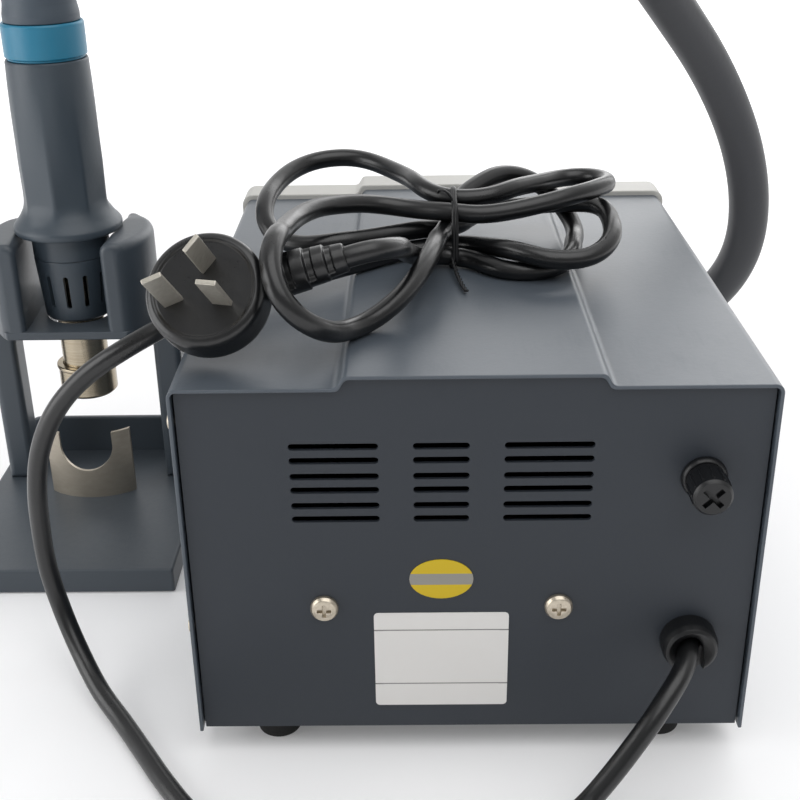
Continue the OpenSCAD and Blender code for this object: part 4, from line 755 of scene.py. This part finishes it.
def octagon_share(a, h):
    """Octagon with soft corners: s(a) = (sum over 8 directions of cos(a - a_k)^p)^(-1/p), scaled to
    the circle; it counts fully just over the flange and fades out towards the grip's upper end."""
    directions = (np.arange(FLATS) + 0.5)[:, None, None] * 2 * math.pi / FLATS
    lobes = np.maximum(np.cos(a[None] - directions), 0) ** CRISPNESS
    soft = lobes.sum(0) ** (-1 / CRISPNESS)
    low = np.clip((h - GRIP_LOW - 3) / 6, 0, 1) * (1 - np.clip((h - GRIP_LOW - 14) / 46, 0, 1)) ** 1.1
    return 1 + low * (soft * DRAWN_IN - 1)


flare_h = np.linspace(140.6, 152, 14)
flare = np.stack([18.0 + 4.2 * np.clip((151.5 - flare_h) / 11.0, 0, 1) ** 2.6, flare_h], -1)
waist_h = np.linspace(153.5, 207.5, 36)
grip_outside = np.vstack([
    rounded([[13.6, 126.0], [13.6, 125.0], [16.6, 125.0], [16.8, 135.7], [22.9, 136.0], [23.4, 137.0], [23.4, 138.9],
             [22.6, 140.0]], [0.2, 0.2, 0.6, 0.9, 0.5, 0.6, 0.9, 0.6], 5, closed=False),
    flare,
    np.stack([np.interp(waist_h, [153.5, 165.7, 190, 207.5], [18.0, 18.2, 17.75, 17.1]), waist_h], -1),
    rounded([[17.1, 208.5], [16.8, 209.45], [13.6, 209.45], [13.6, 150.0], [10.6, 150.0], [10.6, 126.0]],
            0.35, 3, closed=False)])
on_handle("turned_grip", grip_outside, 128, "handle", "grip_plastic", "grip", octagon_share)

# %% [markdown]
# A coloured ring is pushed over the grip's upper end, and a soft sleeve with ribs keeps
# the hose from kinking there. The ribs are steps of a few tenths of a millimetre in the
# sleeve's profile, so they stay real edges in the mesh.

# %% Ring and sleeve
ring_profile = rounded([[13.6, 209.6], [15.9, 209.6], [15.9, 210.4], [16.9, 210.8], [16.9, 223.5], [16.4, 224.35],
                        [13.6, 224.35]], [0.1, 0.2, 0.2, 0.4, 0.5, 0.3, 0.1], 5)
on_handle("coloured_ring", ring_profile, 96, "handle", "ring_teal", "grip_ring")

ribs = np.array([[14.9, 231.5], [14.6, 238.0], [14.2, 238.4], [14.15, 239.6], [14.5, 240.0], [14.1, 245.5],
                 [13.7, 245.9], [13.65, 247.1], [14.0, 247.5], [13.6, 253.0], [13.2, 253.4], [13.15, 254.6],
                 [13.4, 255.0]])
sleeve_profile = rounded(np.vstack([[[10.8, 201.6], [13.45, 201.6], [13.45, 224.45], [15.6, 224.55], [15.6, 227.5]],
                                    ribs, [[12.9, 260.5], [12.3, 261.5], [10.8, 261.5]]]), 0.35, 4)
on_handle("ribbed_sleeve", sleeve_profile, 96, "handle", "sleeve_rubber", "tail_sleeve")

# %% [markdown]
# The heater sits in a rolled steel tube. The nozzle is spun from sheet, with a wider
# collar that grips the tube, so its profile steps out and back with small radii.

# %% Heater tube and nozzle
tube_profile = rounded([[9.6, 61.0], [10.35, 61.0], [10.35, 145.9], [9.6, 145.9]], 0.25, 3)
on_handle("rolled_tube", tube_profile, 96, "handle", "tube_steel", "heater_tube")

nozzle_profile = rounded([[8.4, 57.7], [11.6, 57.7], [12.8, 58.9], [12.8, 70.7], [13.4, 71.1], [13.4, 72.3],
                          [13.0, 72.65], [10.55, 72.65], [10.55, 60.7], [8.4, 60.7]], 0.3, 4)
on_handle("spun_nozzle", nozzle_profile, 96, "nozzle_body", "tube_steel", "nozzle")

# %% [markdown]
# ## The stand
# The stand is cast: a base plate with an upright lip along its front, two posts with
# short arms, and a cradle with two thick cheeks. All of them are outlines with a
# height, so one helper serves: rings of the outline, drawn in by a quarter circle
# towards each end, with a flat face over both ends.


# %% Plates with rounded rims
def drawn_in(corners, distance):
    """Each side n.p = n.c moves in by the distance; a corner is where two moved sides meet."""
    along = np.roll(corners, -1, 0) - corners
    out = np.stack([along[:, 1], -along[:, 0]], -1) / np.linalg.norm(along, axis=1, keepdims=True)
    level = np.sum(out * corners, 1) - distance
    pairs = np.stack([np.roll(out, 1, 0), out], 1)
    return np.linalg.solve(pairs, np.stack([np.roll(level, 1), level], -1)[..., None])[..., 0]


def plate(corners, sizes, low, high, rim_low, rim_high, steps=6, curve=5):
    """Rings of an outline between two heights. At an end with rim r the ring at angle a is drawn
    in by r (1 - cos a) and lies r (1 - sin a) from the end. Round outer corners get smaller as
    the outline is drawn in, and inner corners larger."""
    corners = np.asarray(corners, float)
    following = np.roll(corners, -1, 0) - corners
    before = corners - np.roll(corners, 1, 0)
    if np.sum(corners[:, 0] * np.roll(corners[:, 1], -1) - np.roll(corners[:, 0], -1) * corners[:, 1]) < 0:
        backwards = np.broadcast_to(sizes, (len(corners),))[::-1]
        return plate(corners[::-1], backwards, low, high, rim_low, rim_high, steps, curve)
    outer = before[:, 0] * following[:, 1] - before[:, 1] * following[:, 0] > 0
    a = np.linspace(0, math.pi / 2, steps)
    pull = np.concatenate([rim_low * (1 - np.sin(a)), rim_high * (1 - np.cos(a))])
    level = np.concatenate([low + rim_low * (1 - np.cos(a)), high - rim_high * (1 - np.sin(a))])
    ring_sizes = [np.maximum(np.where(outer, sizes - 0.7 * d, sizes + 0.7 * d), 0.05) for d in pull]
    rings = np.stack([rounded(drawn_in(corners, d), size, curve) for d, size in zip(pull, ring_sizes)])
    points = np.concatenate([rings, np.broadcast_to(level[:, None, None], (*rings.shape[:2], 1))], -1)
    count, around = rings.shape[:2]
    faces = grid_faces(count, around).tolist()
    faces += [list(range(around)), list(range((count - 1) * around, count * around))]
    return points.reshape(-1, 3), faces


def stood_up(points):
    """A plate drawn in x and z with its height along y, as (x, height, z)."""
    return points[:, [0, 2, 1]]


def oblong(width, height, middle):
    """The four corners of a rectangle about its middle."""
    x, y = width / 2, height / 2
    return np.array([[x, -y], [x, y], [-x, y], [-x, -y]]) + middle


# %% [markdown]
# The base is a flat casting with its edges broken on the underside and rounded on top.
# An upright lip closes it at the front, the side that faces away from the camera.

# %% Base
STAND_X = 170.0
base_plate = plate(oblong(98, 115, [STAND_X, -158.5]), 1.4, low=0.6, high=11.5, rim_low=0.4, rim_high=1.2)
lip_corners = [[STAND_X + 42, 9.5], [STAND_X + 42, 30], [STAND_X - 42, 30], [STAND_X - 42, 9.5]]
lip_points, lip_faces = plate(lip_corners, np.array([0.1, 9, 9, 0.1]), low=-214.4, high=-211.4,
                              rim_low=0.9, rim_high=0.9, curve=9)
points, faces = joined([base_plate, (stood_up(lip_points), lip_faces)])
even_light(mesh_piece("cast_base", station(points), faces, "station", "stand_paint", ["stand_base"]))

# %% [markdown]
# Post and arm are one bar bent in a right angle, with a large radius outside and a
# small one inside, as a casting needs. The second bar is its mirror image.

# %% Posts and arms
post_corners = np.array([[14, 84.4], [31.6, 84.4], [31.6, 11.2], [44, 11.2], [44, 92.4], [14, 92.4]])
post_sizes = np.array([0.4, 4.0, 0.2, 0.2, 10, 0.4])
parts = []
for sx in (-1, 1):
    arm_points, arm_faces = plate(post_corners * [sx, 1] + [STAND_X, 0], post_sizes, low=-197, high=-183,
                                  rim_low=2.8, rim_high=2.8, curve=8)
    parts.append((stood_up(arm_points), arm_faces))
points, faces = joined(parts)
even_light(mesh_piece("cast_arch", station(points), faces, "station", "stand_paint", ["stand_arch"]))

# %% [markdown]
# The cradle holds the handle by its flange. Its two cheeks stand on a round floor with
# a notch for the heater tube. A cheek changes its width all along, so it is laid out as
# cross-sections: the ends and the top are rounded by making each section its own size.

# %% Cradle
CRADLE_RADIUS = 36.5
WALL_AT, WALL_TAPER = 19.12, 0.0446  # the channel's half width in its middle, and how it changes along y
TOP_ROUND, TOP_SHARE = 4.2, 0.45  # radius of a cheek's top in mm, and its limit as a share of the width


def cheek(side, rear=24.9, front=-28.0, low=93.6, high=135.8, end=2.6, tip=2.2, steps=9, arc=7):
    """One cheek as cross-sections along y. Each stands between the channel's straight wall
    x = wall_at - taper y and the arc x = sqrt(radius^2 - y^2); its top is rounded by r = min(4.2,
    0.45 of the width) and sinks a little towards the front. At both ends the section draws in by
    e (1 - sin a) while it moves out by e (1 - cos a), a quarter of a circle, and the top sinks too."""
    a = np.linspace(0, math.pi / 2, steps)
    y = np.concatenate([rear - end * (1 - np.cos(a)), np.linspace(rear - end, front + tip, 24)[1:-1],
                        (front + tip * (1 - np.cos(a)))[::-1]])
    pull = np.concatenate([end * (1 - np.sin(a)), np.zeros(22), (0.8 * tip * (1 - np.sin(a)))[::-1]])
    wall = WALL_AT - WALL_TAPER * y + pull
    edge = np.sqrt(CRADLE_RADIUS**2 - y**2) - pull
    top = high - 1.3 * pull - 0.10 * np.maximum(-y - 14, 0)
    r = np.minimum(TOP_ROUND, TOP_SHARE * (edge - wall))
    b = np.linspace(0, math.pi / 2, arc)
    one = np.ones_like(y)[:, None]
    x = np.concatenate([wall[:, None], wall[:, None] + r[:, None] * (1 - np.cos(b)),
                        edge[:, None] - r[:, None] * (1 - np.sin(b)), edge[:, None]], 1)
    z = np.concatenate([low * one, (top - r)[:, None] + r[:, None] * np.sin(b),
                        (top - r)[:, None] + r[:, None] * np.cos(b), low * one], 1)
    points = np.stack([side * x, y[:, None] * np.ones_like(x), z], -1) + np.append(HANDLE_AXIS[:2], 0.0)
    rows, around = x.shape
    faces = grid_faces(rows, around).tolist()
    faces += [list(range(around)), list(range((rows - 1) * around, rows * around))]
    return points.reshape(-1, 3), faces


parts = [cheek(side) for side in (-1, 1)]
FLOOR_REAR, FLOOR_FRONT, NOTCH_RADIUS = 25, 31, 14
turn = np.linspace(math.asin(FLOOR_REAR / CRADLE_RADIUS), -math.asin(FLOOR_FRONT / CRADLE_RADIUS), 18)
right_edge = CRADLE_RADIUS * np.stack([np.cos(turn), np.sin(turn)], -1)
half_turn = np.linspace(0, math.pi, 15)
notch = NOTCH_RADIUS * np.stack([np.cos(half_turn), np.sin(half_turn)], -1)
floor_corners = np.vstack([right_edge, [[NOTCH_RADIUS, -FLOOR_FRONT]], notch, [[-NOTCH_RADIUS, -FLOOR_FRONT]],
                           right_edge[::-1] * [-1, 1]])
parts.append(plate(floor_corners + HANDLE_AXIS[:2], 0.6, low=92.4, high=96.2, rim_low=0.8, rim_high=0.4))
points, faces = joined(parts)
even_light(mesh_piece("cast_cradle", station(points), faces, "station", "stand_paint", ["cradle"]))

# %% [markdown]
# ## The plug
# A round moulded plug lies tilted beside the loops, its blades up and towards the
# camera. Its lead leaves sideways through a stepped neck with cut rings, which lets the
# neck bend. Head and neck are both turned shapes; the neck's rings are cut on two sides
# only, so its radius also depends on the angle.

# %% The plug's own axes
def turn_x(degrees):
    """Matrix that turns about x."""
    c, s = math.cos(math.radians(degrees)), math.sin(math.radians(degrees))
    return np.array([[1, 0, 0], [0, c, -s], [0, s, c]])


def turn_z(degrees):
    """Matrix that turns about z."""
    c, s = math.cos(math.radians(degrees)), math.sin(math.radians(degrees))
    return np.array([[c, -s, 0], [s, c, 0], [0, 0, 1]])


PLUG_AT = np.array([83.5, -21.0, 166.4])
plug_axes = turn_z(-10) @ turn_x(-50)


def on_plug(points):
    """Points in the plug's own mm, face at z = 0 and blades along +z, to metres in the model."""
    return station(points @ plug_axes.T + PLUG_AT)


# %% Plug body
head_profile = rounded([[0, -16.0], [15.3, -16.0], [18.1, -14.4], [19.3, -12.0], [19.3, -2.4], [18.5, -0.8],
                        [17.0, 0.0], [16.2, -0.1], [15.6, -0.8], [0, -0.8]],
                       [0, 1.6, 1.6, 1.8, 1.4, 0.8, 0.7, 0.4, 0.5, 0], 6, closed=False)
head = turned(head_profile, 128)


CUT_MIDDLES, CUT_DEPTH = (20.5, 26.3, 33.3, 39.6), 0.17


def cut_rings(a, h):
    """Each cut is 2 mm long and 17% of the radius deep, except over two bridges at the neck's sides."""
    cuts = sum(np.clip(1.35 - np.abs(h - middle), 0, 0.35) / 0.35 for middle in CUT_MIDDLES)
    bridges = np.clip((np.abs(np.sin(a)) - 0.88) / 0.06, 0, 1)
    return 1 - CUT_DEPTH * np.clip(cuts, 0, 1) * (1 - bridges)


neck_h = np.linspace(12, 44.9, 150)
neck_r = np.interp(neck_h, [12, 18.6, 20.4, 22.3, 24.9, 25.1, 31.8, 32.2, 38.4, 38.8, 44.4, 44.9],
                   [6.4, 6.6, 8.0, 8.4, 8.2, 7.0, 6.8, 6.2, 5.9, 5.2, 4.7, 4.2])
neck_profile = np.vstack([[[0, 12.0]], np.stack([neck_r, neck_h], -1), [[0, 44.9]]])
neck_points, neck_faces = turned(neck_profile, 72, swell=cut_rings)
along_x = np.stack([neck_points[:, 2], neck_points[:, 1], -neck_points[:, 0]], -1)
neck = (along_x @ turn_z(200).T + [0, 0, -8.0], neck_faces)
points, faces = joined([head, neck])
plug = even_light(mesh_piece("moulded_plug", on_plug(points), faces, "station", "lead_rubber", ["plug_body"]))

# %% [markdown]
# ## The air hose
# A soft grey hose leaves the socket on the front, arches over the case and comes down
# into the handle. Its route repeats the solid's points. It bends when the handle is
# lifted, so the mesh blends between the case and the handle. The blend runs straight
# along x over the arch alone: a slanted one would also move the loop beyond the case,
# and the hose would be pinched where its two halves move by different shares.

# %% Hose
HOSE_D = 0.021
hose_route = station([
    [170, -185, 247], [170, -185, 264], [169, -185, 281], [164, -185, 304], [152, -185, 327],
    [133, -185, 345], [107, -185, 355], [78, -185, 357], [51, -186, 352], [25, -188, 342], [1, -191, 328],
    [-21, -196, 311], [-41, -204, 292], [-58, -215, 272], [-74, -229, 251], [-91, -246, 231],
    [-108, -262, 211], [-126, -278, 189], [-143, -292, 163], [-156, -302, 136], [-164, -310, 107],
    [-166, -320, 79], [-160, -333, 53], [-145, -345, 32], [-122, -353, 20], [-94, -350, 18],
    [-68, -337, 23], [-49, -317, 30], [-37, -293, 37], [-31, -267, 41], [-30, -250, 42], [-30, -238.2, 42]])
hose_line = relaxed(smooth_route(hose_route, 0.003), 24)
HOSE_SIDES = 48
hose = mesh_piece("air_hose", tube_points(hose_line, HOSE_D / 2, HOSE_SIDES), tube_faces(len(hose_line), HOSE_SIDES),
                  None, "hose_rubber", ["hose"])
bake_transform(hose, "station", "handle", start=station([-10, -185, 300]), end=station([168, -185, 300]))
station([-30, -250, 42])
print("hose", round(length_of(hose_line), 3), "m, lowest at", round(float(hose_line[:, 2].min()), 4))

# %% [markdown]
# ## The mains lead
# One lead of 7 mm leaves the bushing, sags to the table, runs out of the picture and
# comes back up beside the case. On top it is wound in loose loops that a twisted tie
# holds at their waist, and it ends in the plug. The loops were found strand by
# strand: each was laid under its own pixels of the photograph, a lead's width clear
# of the strands that it crosses. Their points guide a B-spline, which stays smooth
# where a curve through every point would ripple.

# %% B-spline
def guided(points, steps=5):
    """Uniform cubic B-spline: ((1-u)^3 p0 + (3u^3 - 6u^2 + 4) p1 + (-3u^3 + 3u^2 + 3u + 1) p2 + u^3 p3) / 6."""
    u = np.linspace(0, 1, steps, endpoint=False)[None, :, None]
    p0, p1, p2, p3 = (points[k : len(points) - 3 + k, None, :] for k in range(4))
    line = ((1 - u) ** 3 * p0 + (3 * u**3 - 6 * u**2 + 4) * p1
            + (-3 * u**3 + 3 * u**2 + 3 * u + 1) * p2 + u**3 * p3) / 6
    return np.vstack([line.reshape(-1, 3), (points[-3:-2] + 4 * points[-2:-1] + points[-1:]) / 6])


# %% Lead from the bushing to the loops
LEAD_D = 0.007
table_route = station([
    [-72.5, -11, 47], [-72.5, -3, 47], [-71.5, 5, 46.4], [-68, 13, 44], [-63, 19, 40],
    [-57, 24.5, 34], [-50.5, 28.5, 26.5], [-43, 33, 18.5], [-34, 38, 10.5], [-20, 47, 4.8],
    [-4, 55.5, 3.7], [13, 61.5, 3.7], [31, 64, 3.7], [49, 62, 3.7], [66, 55, 3.7], [80, 45, 3.7],
    [93, 32, 3.7], [104, 17.5, 3.7], [114, 2.5, 3.7], [124, -12, 4.5], [135, -26, 7.5], [144.5, -39, 15],
    [152, -48, 28], [156, -51, 45], [156, -50, 63], [154, -47, 81], [150, -45, 98], [142, -44, 114],
    [130, -43.5, 127], [115, -44, 137], [99, -49, 144.5], [85, -58, 148.8], [71, -69, 149], [57, -80, 148.8]])

# %% The strands of the loops, in the order the lead runs through them
lead_in = [
    [64.5, -75.5, 149], [57, -79.5, 149], [49.5, -86, 148.5], [42.5, -92, 148.5], [35, -98.5, 148.5],
    [28, -105, 148.5], [20, -110.5, 148.5], [10.5, -112.5, 149]]
right_lower = [
    [1.5, -111, 150.5], [-6, -106, 151.5], [-11, -99, 153], [-15, -91, 155], [-21.5, -85, 155.5],
    [-29, -81, 154], [-37.5, -81, 153.5], [-45.5, -83.5, 153.5], [-52, -89, 155.5], [-55.5, -96.5, 158],
    [-56, -104.5, 159.5], [-56.5, -113, 159], [-56.5, -121.5, 160], [-53, -129, 160.5], [-47, -135, 159],
    [-39.5, -138, 158], [-33, -143, 156], [-25, -145.5, 155], [-16.5, -145, 154.5], [-9.5, -141.5, 154],
    [-4, -135, 153.5], [-1.5, -127, 153.5]]
far_loop = [
    [3.5, -120.5, 154], [10.5, -115.5, 155.5], [18.5, -112.5, 155.5], [25.5, -108.5, 155.5],
    [33, -104.5, 155.5], [40, -100, 156], [47, -96.5, 156.5], [55.5, -95.5, 155.5], [63, -97.5, 155],
    [69.5, -102, 157], [73.5, -107.5, 160], [75, -114.5, 163.5], [74, -122, 166.5], [73, -129.5, 167],
    [71, -137, 168.5], [67.5, -144.5, 170], [63.5, -151, 171], [57.5, -156, 172], [50, -158.5, 172.5],
    [42, -158.5, 172.5], [34.5, -155.5, 171.5], [29, -150, 170.5], [24, -143.5, 170],
    [19.5, -136.5, 169.5], [17.5, -128.5, 170.5], [14.5, -121.5, 169.5], [9, -116, 168]]
long_fold = [
    [2, -113, 167.5], [-6, -113, 167.5], [-14, -116.5, 168], [-20, -122, 169], [-25.5, -129, 168],
    [-31.5, -135, 167.5], [-36.5, -142, 166.5], [-44, -146.5, 166.5], [-52, -145.5, 167],
    [-58, -139.5, 167.5], [-58.5, -131.5, 167.5], [-54, -124.5, 168.5], [-49, -118, 168.5],
    [-42, -113, 168.5], [-35, -109, 167.5], [-27.5, -106.5, 166.5], [-19.5, -104, 165.5],
    [-11.5, -103, 164.5], [-3.5, -103.5, 164]]
near_loop = [
    [5, -105.5, 165], [13, -109.5, 164], [22, -112.5, 164.5], [31, -112, 166], [39, -107.5, 168],
    [46.5, -101.5, 169], [52.5, -94, 170.5], [56.5, -85.5, 171], [59.5, -76.5, 171.5], [60.5, -67, 172.5],
    [61, -58, 174], [62, -48, 174.5], [60.5, -39.5, 178], [60.5, -30, 180.5], [62, -21, 178.5],
    [61.5, -13.5, 173], [58.5, -9.5, 166.5], [53, -9, 160], [47, -13, 155], [43, -20.5, 151],
    [40, -28.5, 148.5], [33.5, -35.5, 148], [26, -41, 151.5], [20.5, -48, 154.5], [16, -56, 158],
    [13, -65, 160], [11, -74.5, 161], [9.5, -84.5, 160.5], [9.5, -94.5, 158], [7, -104, 157]]
tall_arch = [
    [4, -112.5, 159], [2.5, -120, 163], [-2, -126.5, 166], [-7, -132.5, 167.5], [-12, -138.5, 169],
    [-17.5, -144, 169], [-24, -148, 167.5], [-30.5, -150, 164.5], [-36.5, -149.5, 160.5], [-41, -146, 156],
    [-44.5, -141, 152], [-46, -134, 149.5], [-45.5, -126, 148], [-44, -118.5, 149.5],
    [-42.5, -110.5, 149.5], [-42, -102.5, 150.5], [-39.5, -95, 149.5], [-35, -89.5, 148.5],
    [-29, -86, 148], [-21.5, -85, 148], [-14.5, -87, 148], [-9, -92, 148.5], [-4.5, -98.5, 148.5]]
plug_end = [
    [1.5, -101.5, 148.5], [8, -101, 149.5], [14, -96, 151], [17.5, -87, 153.5], [17.5, -78.5, 157],
    [20, -70.5, 160.5], [21, -62, 164], [22, -54, 167.5], [21.5, -44.5, 171], [25.5, -35, 174],
    [33, -29, 175], [42, -29.5, 172], [50.5, -29, 169.5]]

# %% Lead
strands = [lead_in, right_lower, far_loop, long_fold, near_loop, tall_arch, plug_end]
wound_line = guided(station(np.vstack([np.array(strand, float) for strand in strands])))
lead_line = relaxed(even_steps(np.vstack([smooth_route(table_route), wound_line[1:]]), 0.002), 3)
LEAD_SIDES = 20
lead = mesh_piece("mains_lead_whole", tube_points(lead_line, LEAD_D / 2, LEAD_SIDES),
                  tube_faces(len(lead_line), LEAD_SIDES), "station", "lead_rubber",
                  ["mains_lead", "cord_hank", "plug_lead"])
station([-72.5, 4, 47])
print("lead", round(length_of(lead_line), 3), "m, of it wound", round(length_of(wound_line), 3))

# %% [markdown]
# ## The twisted tie
# A flat tie with a wire inside is wound twice round the waist of the loops and its
# ends are twisted into one tail. Its path is the tight line round the strands that
# it holds: for each direction, the strand that reaches out most carries the tie.

# %% Tie
WAIST_X = 3  # the plane across the loops in which the tie lies
TIE_HALF_WIDTH, TIE_HALF_THICK, WIRE_BULGE = 0.78, 0.3, 0.25
RIBBON_SIDES, TAIL_SIDES = 16, 10
in_mm = lead_line / MM - STATION_AT
crossing = np.nonzero((in_mm[:-1, 0] - WAIST_X) * (in_mm[1:, 0] - WAIST_X) < 0)[0]
waist = in_mm[crossing][:, 1:]
waist = waist[(waist[:, 1] > 146) & (waist[:, 0] > -125) & (waist[:, 0] < -98)]
print("strands at the waist", len(waist))


def tight_round(angles, reach):
    """Outline of equal discs: for direction n, the centre with the largest c.n, plus reach n."""
    n = np.stack([np.cos(angles), np.sin(angles)], -1)
    return waist[(n @ waist.T).argmax(1)] + reach * n


turns = np.linspace(0, 4 * math.pi, 720) + math.radians(-20)
loop = tight_round(turns, LEAD_D / 2 / MM + 0.45)
x_along = 1.9 + 2.3 * np.linspace(0, 1, 720) + 0.5 * np.sin(turns * 0.5)
tie_line = relaxed(even_steps(np.column_stack([x_along, loop]), 0.8), 5)
tie_tangent = np.gradient(tie_line, axis=0)
tie_tangent /= np.linalg.norm(tie_tangent, axis=1, keepdims=True)
flat_side = np.array([1.0, 0, 0]) - tie_tangent * tie_tangent[:, :1]
flat_side /= np.linalg.norm(flat_side, axis=1, keepdims=True)
thick_side = np.cross(tie_tangent, flat_side)
t = np.linspace(0, 2 * math.pi, RIBBON_SIDES, endpoint=False)[None, :, None]
half_thick = TIE_HALF_THICK + WIRE_BULGE * np.abs(np.sin(t)) ** 6
ribbon = (tie_line[:, None] + TIE_HALF_WIDTH * np.cos(t) * flat_side[:, None]
          + half_thick * np.sin(t) * thick_side[:, None])
tie_parts = [(ribbon.reshape(-1, 3), tube_faces(len(tie_line), RIBBON_SIDES))]
tail_points = np.array([[3.4, -99.4, 150.5], [3.4, -97.6, 149.4], [3.2, -95, 148.4], [2.7, -90, 147.6],
                        [2.0, -84, 147.0], [1.1, -78, 146.6], [0.2, -73, 146.4], [-0.5, -70.5, 146.3]])
tail_line = smooth_route(tail_points, 0.5)
_, tail_side, tail_third = side_frames(tail_line)
walk = np.linspace(0, 1, len(tail_line))[:, None] * 2 * math.pi * 5.5
curl = smooth_route(np.array([[3.6, -104.5, 169.4], [4.6, -104.2, 171.6], [6.4, -104.8, 173.0], [8.2, -106.0, 172.8],
                              [8.8, -107.2, 171.6]]), 0.5)
tie_parts.append((tube_points(curl, 0.5, TAIL_SIDES), tube_faces(len(curl), TAIL_SIDES)))
for start in (0, math.pi):
    strand = tail_line + 0.42 * (np.cos(walk + start) * tail_side + np.sin(walk + start) * tail_third)
    tie_parts.append((tube_points(strand, 0.45, TAIL_SIDES), tube_faces(len(strand), TAIL_SIDES)))
points, faces = joined(tie_parts)
mesh_piece("twisted_tie", station(points), faces, "station", "black_plastic", ["cord_tie"])

# %% [markdown]
# ## Table and light
# The photograph is taken on a white table in a white room. The floor is plain white
# paper, lit and shaded like everything else, so the shadows stay. A weak glow that only
# the camera and reflections see brings it to white, more so away from the station.

# %% Floor
GLOW_FROM, GLOW_RISE = 0.45, 1.1  # metres from the middle, and the share gained with each metre
GLOW_NEAR, GLOW_MORE = 0.14, 0.6
floor_mesh = bpy.data.meshes.new("table_top")
floor_mesh.from_pydata([(-6, -6, 0), (6, -6, 0), (6, 6, 0), (-6, 6, 0)], [], [(0, 1, 2, 3)])
table_top = in_scene("table_top", floor_mesh)
paper = bpy.data.materials.new("table_paper")
paper.use_nodes = True
tree = paper.node_tree
shader = tree.nodes["Principled BSDF"]
shader.inputs["Base Color"].default_value = (0.86, 0.86, 0.87, 1)
shader.inputs["Roughness"].default_value = 0.55
rays = node(tree, "LightPath")
seen = math_node(tree, "MAXIMUM", rays.outputs["Is Camera Ray"],
                 math_node(tree, "MAXIMUM", rays.outputs["Is Glossy Ray"], rays.outputs["Is Transmission Ray"]))
where = over_object(tree)
away = node(tree, "VectorMath", {0: where, 1: (0.0, 0.0, 0.0)}, operation="DISTANCE").outputs["Value"]
far = math_node(tree, "MULTIPLY", math_node(tree, "SUBTRACT", away, GLOW_FROM), GLOW_RISE, clamp=True)
glow = math_node(tree, "ADD", GLOW_NEAR, math_node(tree, "MULTIPLY", far, GLOW_MORE))
shader.inputs["Emission Color"].default_value = (1, 1, 1, 1)
tree.links.new(math_node(tree, "MULTIPLY", seen, glow), shader.inputs["Emission Strength"])
floor_mesh.materials.append(paper)

# %% [markdown]
# The room is white all round and brightest beyond the station and a little above it,
# which gives the cover its sheen. With d the cosine towards that side, the strength is
# 0.27 + 0.95 (0.5 + 0.5 d)^2.6. The camera sees plain white, mirrors a third of it.

# %% World
BRIGHT_SIDE, NARROWING = (-0.20, -0.94, 0.28), 2.6
ROOM_LOW, ROOM_MORE, IN_MIRRORS = 0.27, 0.95, 0.32
world = bpy.data.worlds.new("white_room")
bpy.context.scene.world = world
world.use_nodes = True
tree = world.node_tree
rays = node(tree, "LightPath")
seen = math_node(tree, "MAXIMUM", rays.outputs["Is Camera Ray"],
                 math_node(tree, "MAXIMUM", math_node(tree, "MULTIPLY", rays.outputs["Is Glossy Ray"], IN_MIRRORS),
                           rays.outputs["Is Transmission Ray"]))
room = tree.nodes["Background"]
room.inputs["Color"].default_value = (1, 1, 1, 1)
direction = node(tree, "TexCoord").outputs["Generated"]
towards = node(tree, "VectorMath", {0: direction, 1: BRIGHT_SIDE}, operation="DOT_PRODUCT").outputs["Value"]
half_share = math_node(tree, "ADD", 0.5, math_node(tree, "MULTIPLY", towards, 0.5), clamp=True)
bright = math_node(tree, "POWER", half_share, NARROWING)
light = math_node(tree, "ADD", ROOM_LOW, math_node(tree, "MULTIPLY", bright, ROOM_MORE))
strength = math_node(tree, "MAXIMUM", light, seen)
tree.links.new(strength, room.inputs["Strength"])

# %% [markdown]
# Three soft lamps stand for the studio's: one low beyond the station, which draws the
# highlights along the cover, a large one high above the camera for the even light, and
# one at the stand's side, which gives post and grip their pale edge.


# %% Lamps
def softbox(name, at, aim, size, power):
    """A square area lamp at a point of the station, turned towards another."""
    lamp = bpy.data.lights.new(name, "AREA")
    lamp.size, lamp.energy = size, power
    box = in_scene(name, lamp)
    back = station(at) - station(aim)
    back /= np.linalg.norm(back)
    side = np.cross([0, 0, 1], back)
    side /= np.linalg.norm(side)
    aimed = np.eye(4)
    aimed[:3, 0], aimed[:3, 1], aimed[:3, 2], aimed[:3, 3] = side, np.cross(back, side), back, station(at)
    box.matrix_world = Matrix(aimed.tolist())


softbox("far_softbox", [-450, -1150, 620], [0, -120, 130], 0.9, 3.4)
softbox("high_softbox", [-200, 350, 1200], [0, -100, 60], 1.2, 7.5)
softbox("left_softbox", [800, 150, 350], [170, -150, 120], 0.6, 3.0)

# %% Colours as written
bpy.context.scene.view_settings.view_transform = "Standard"

# %% Update the scene
bpy.context.view_layer.update()
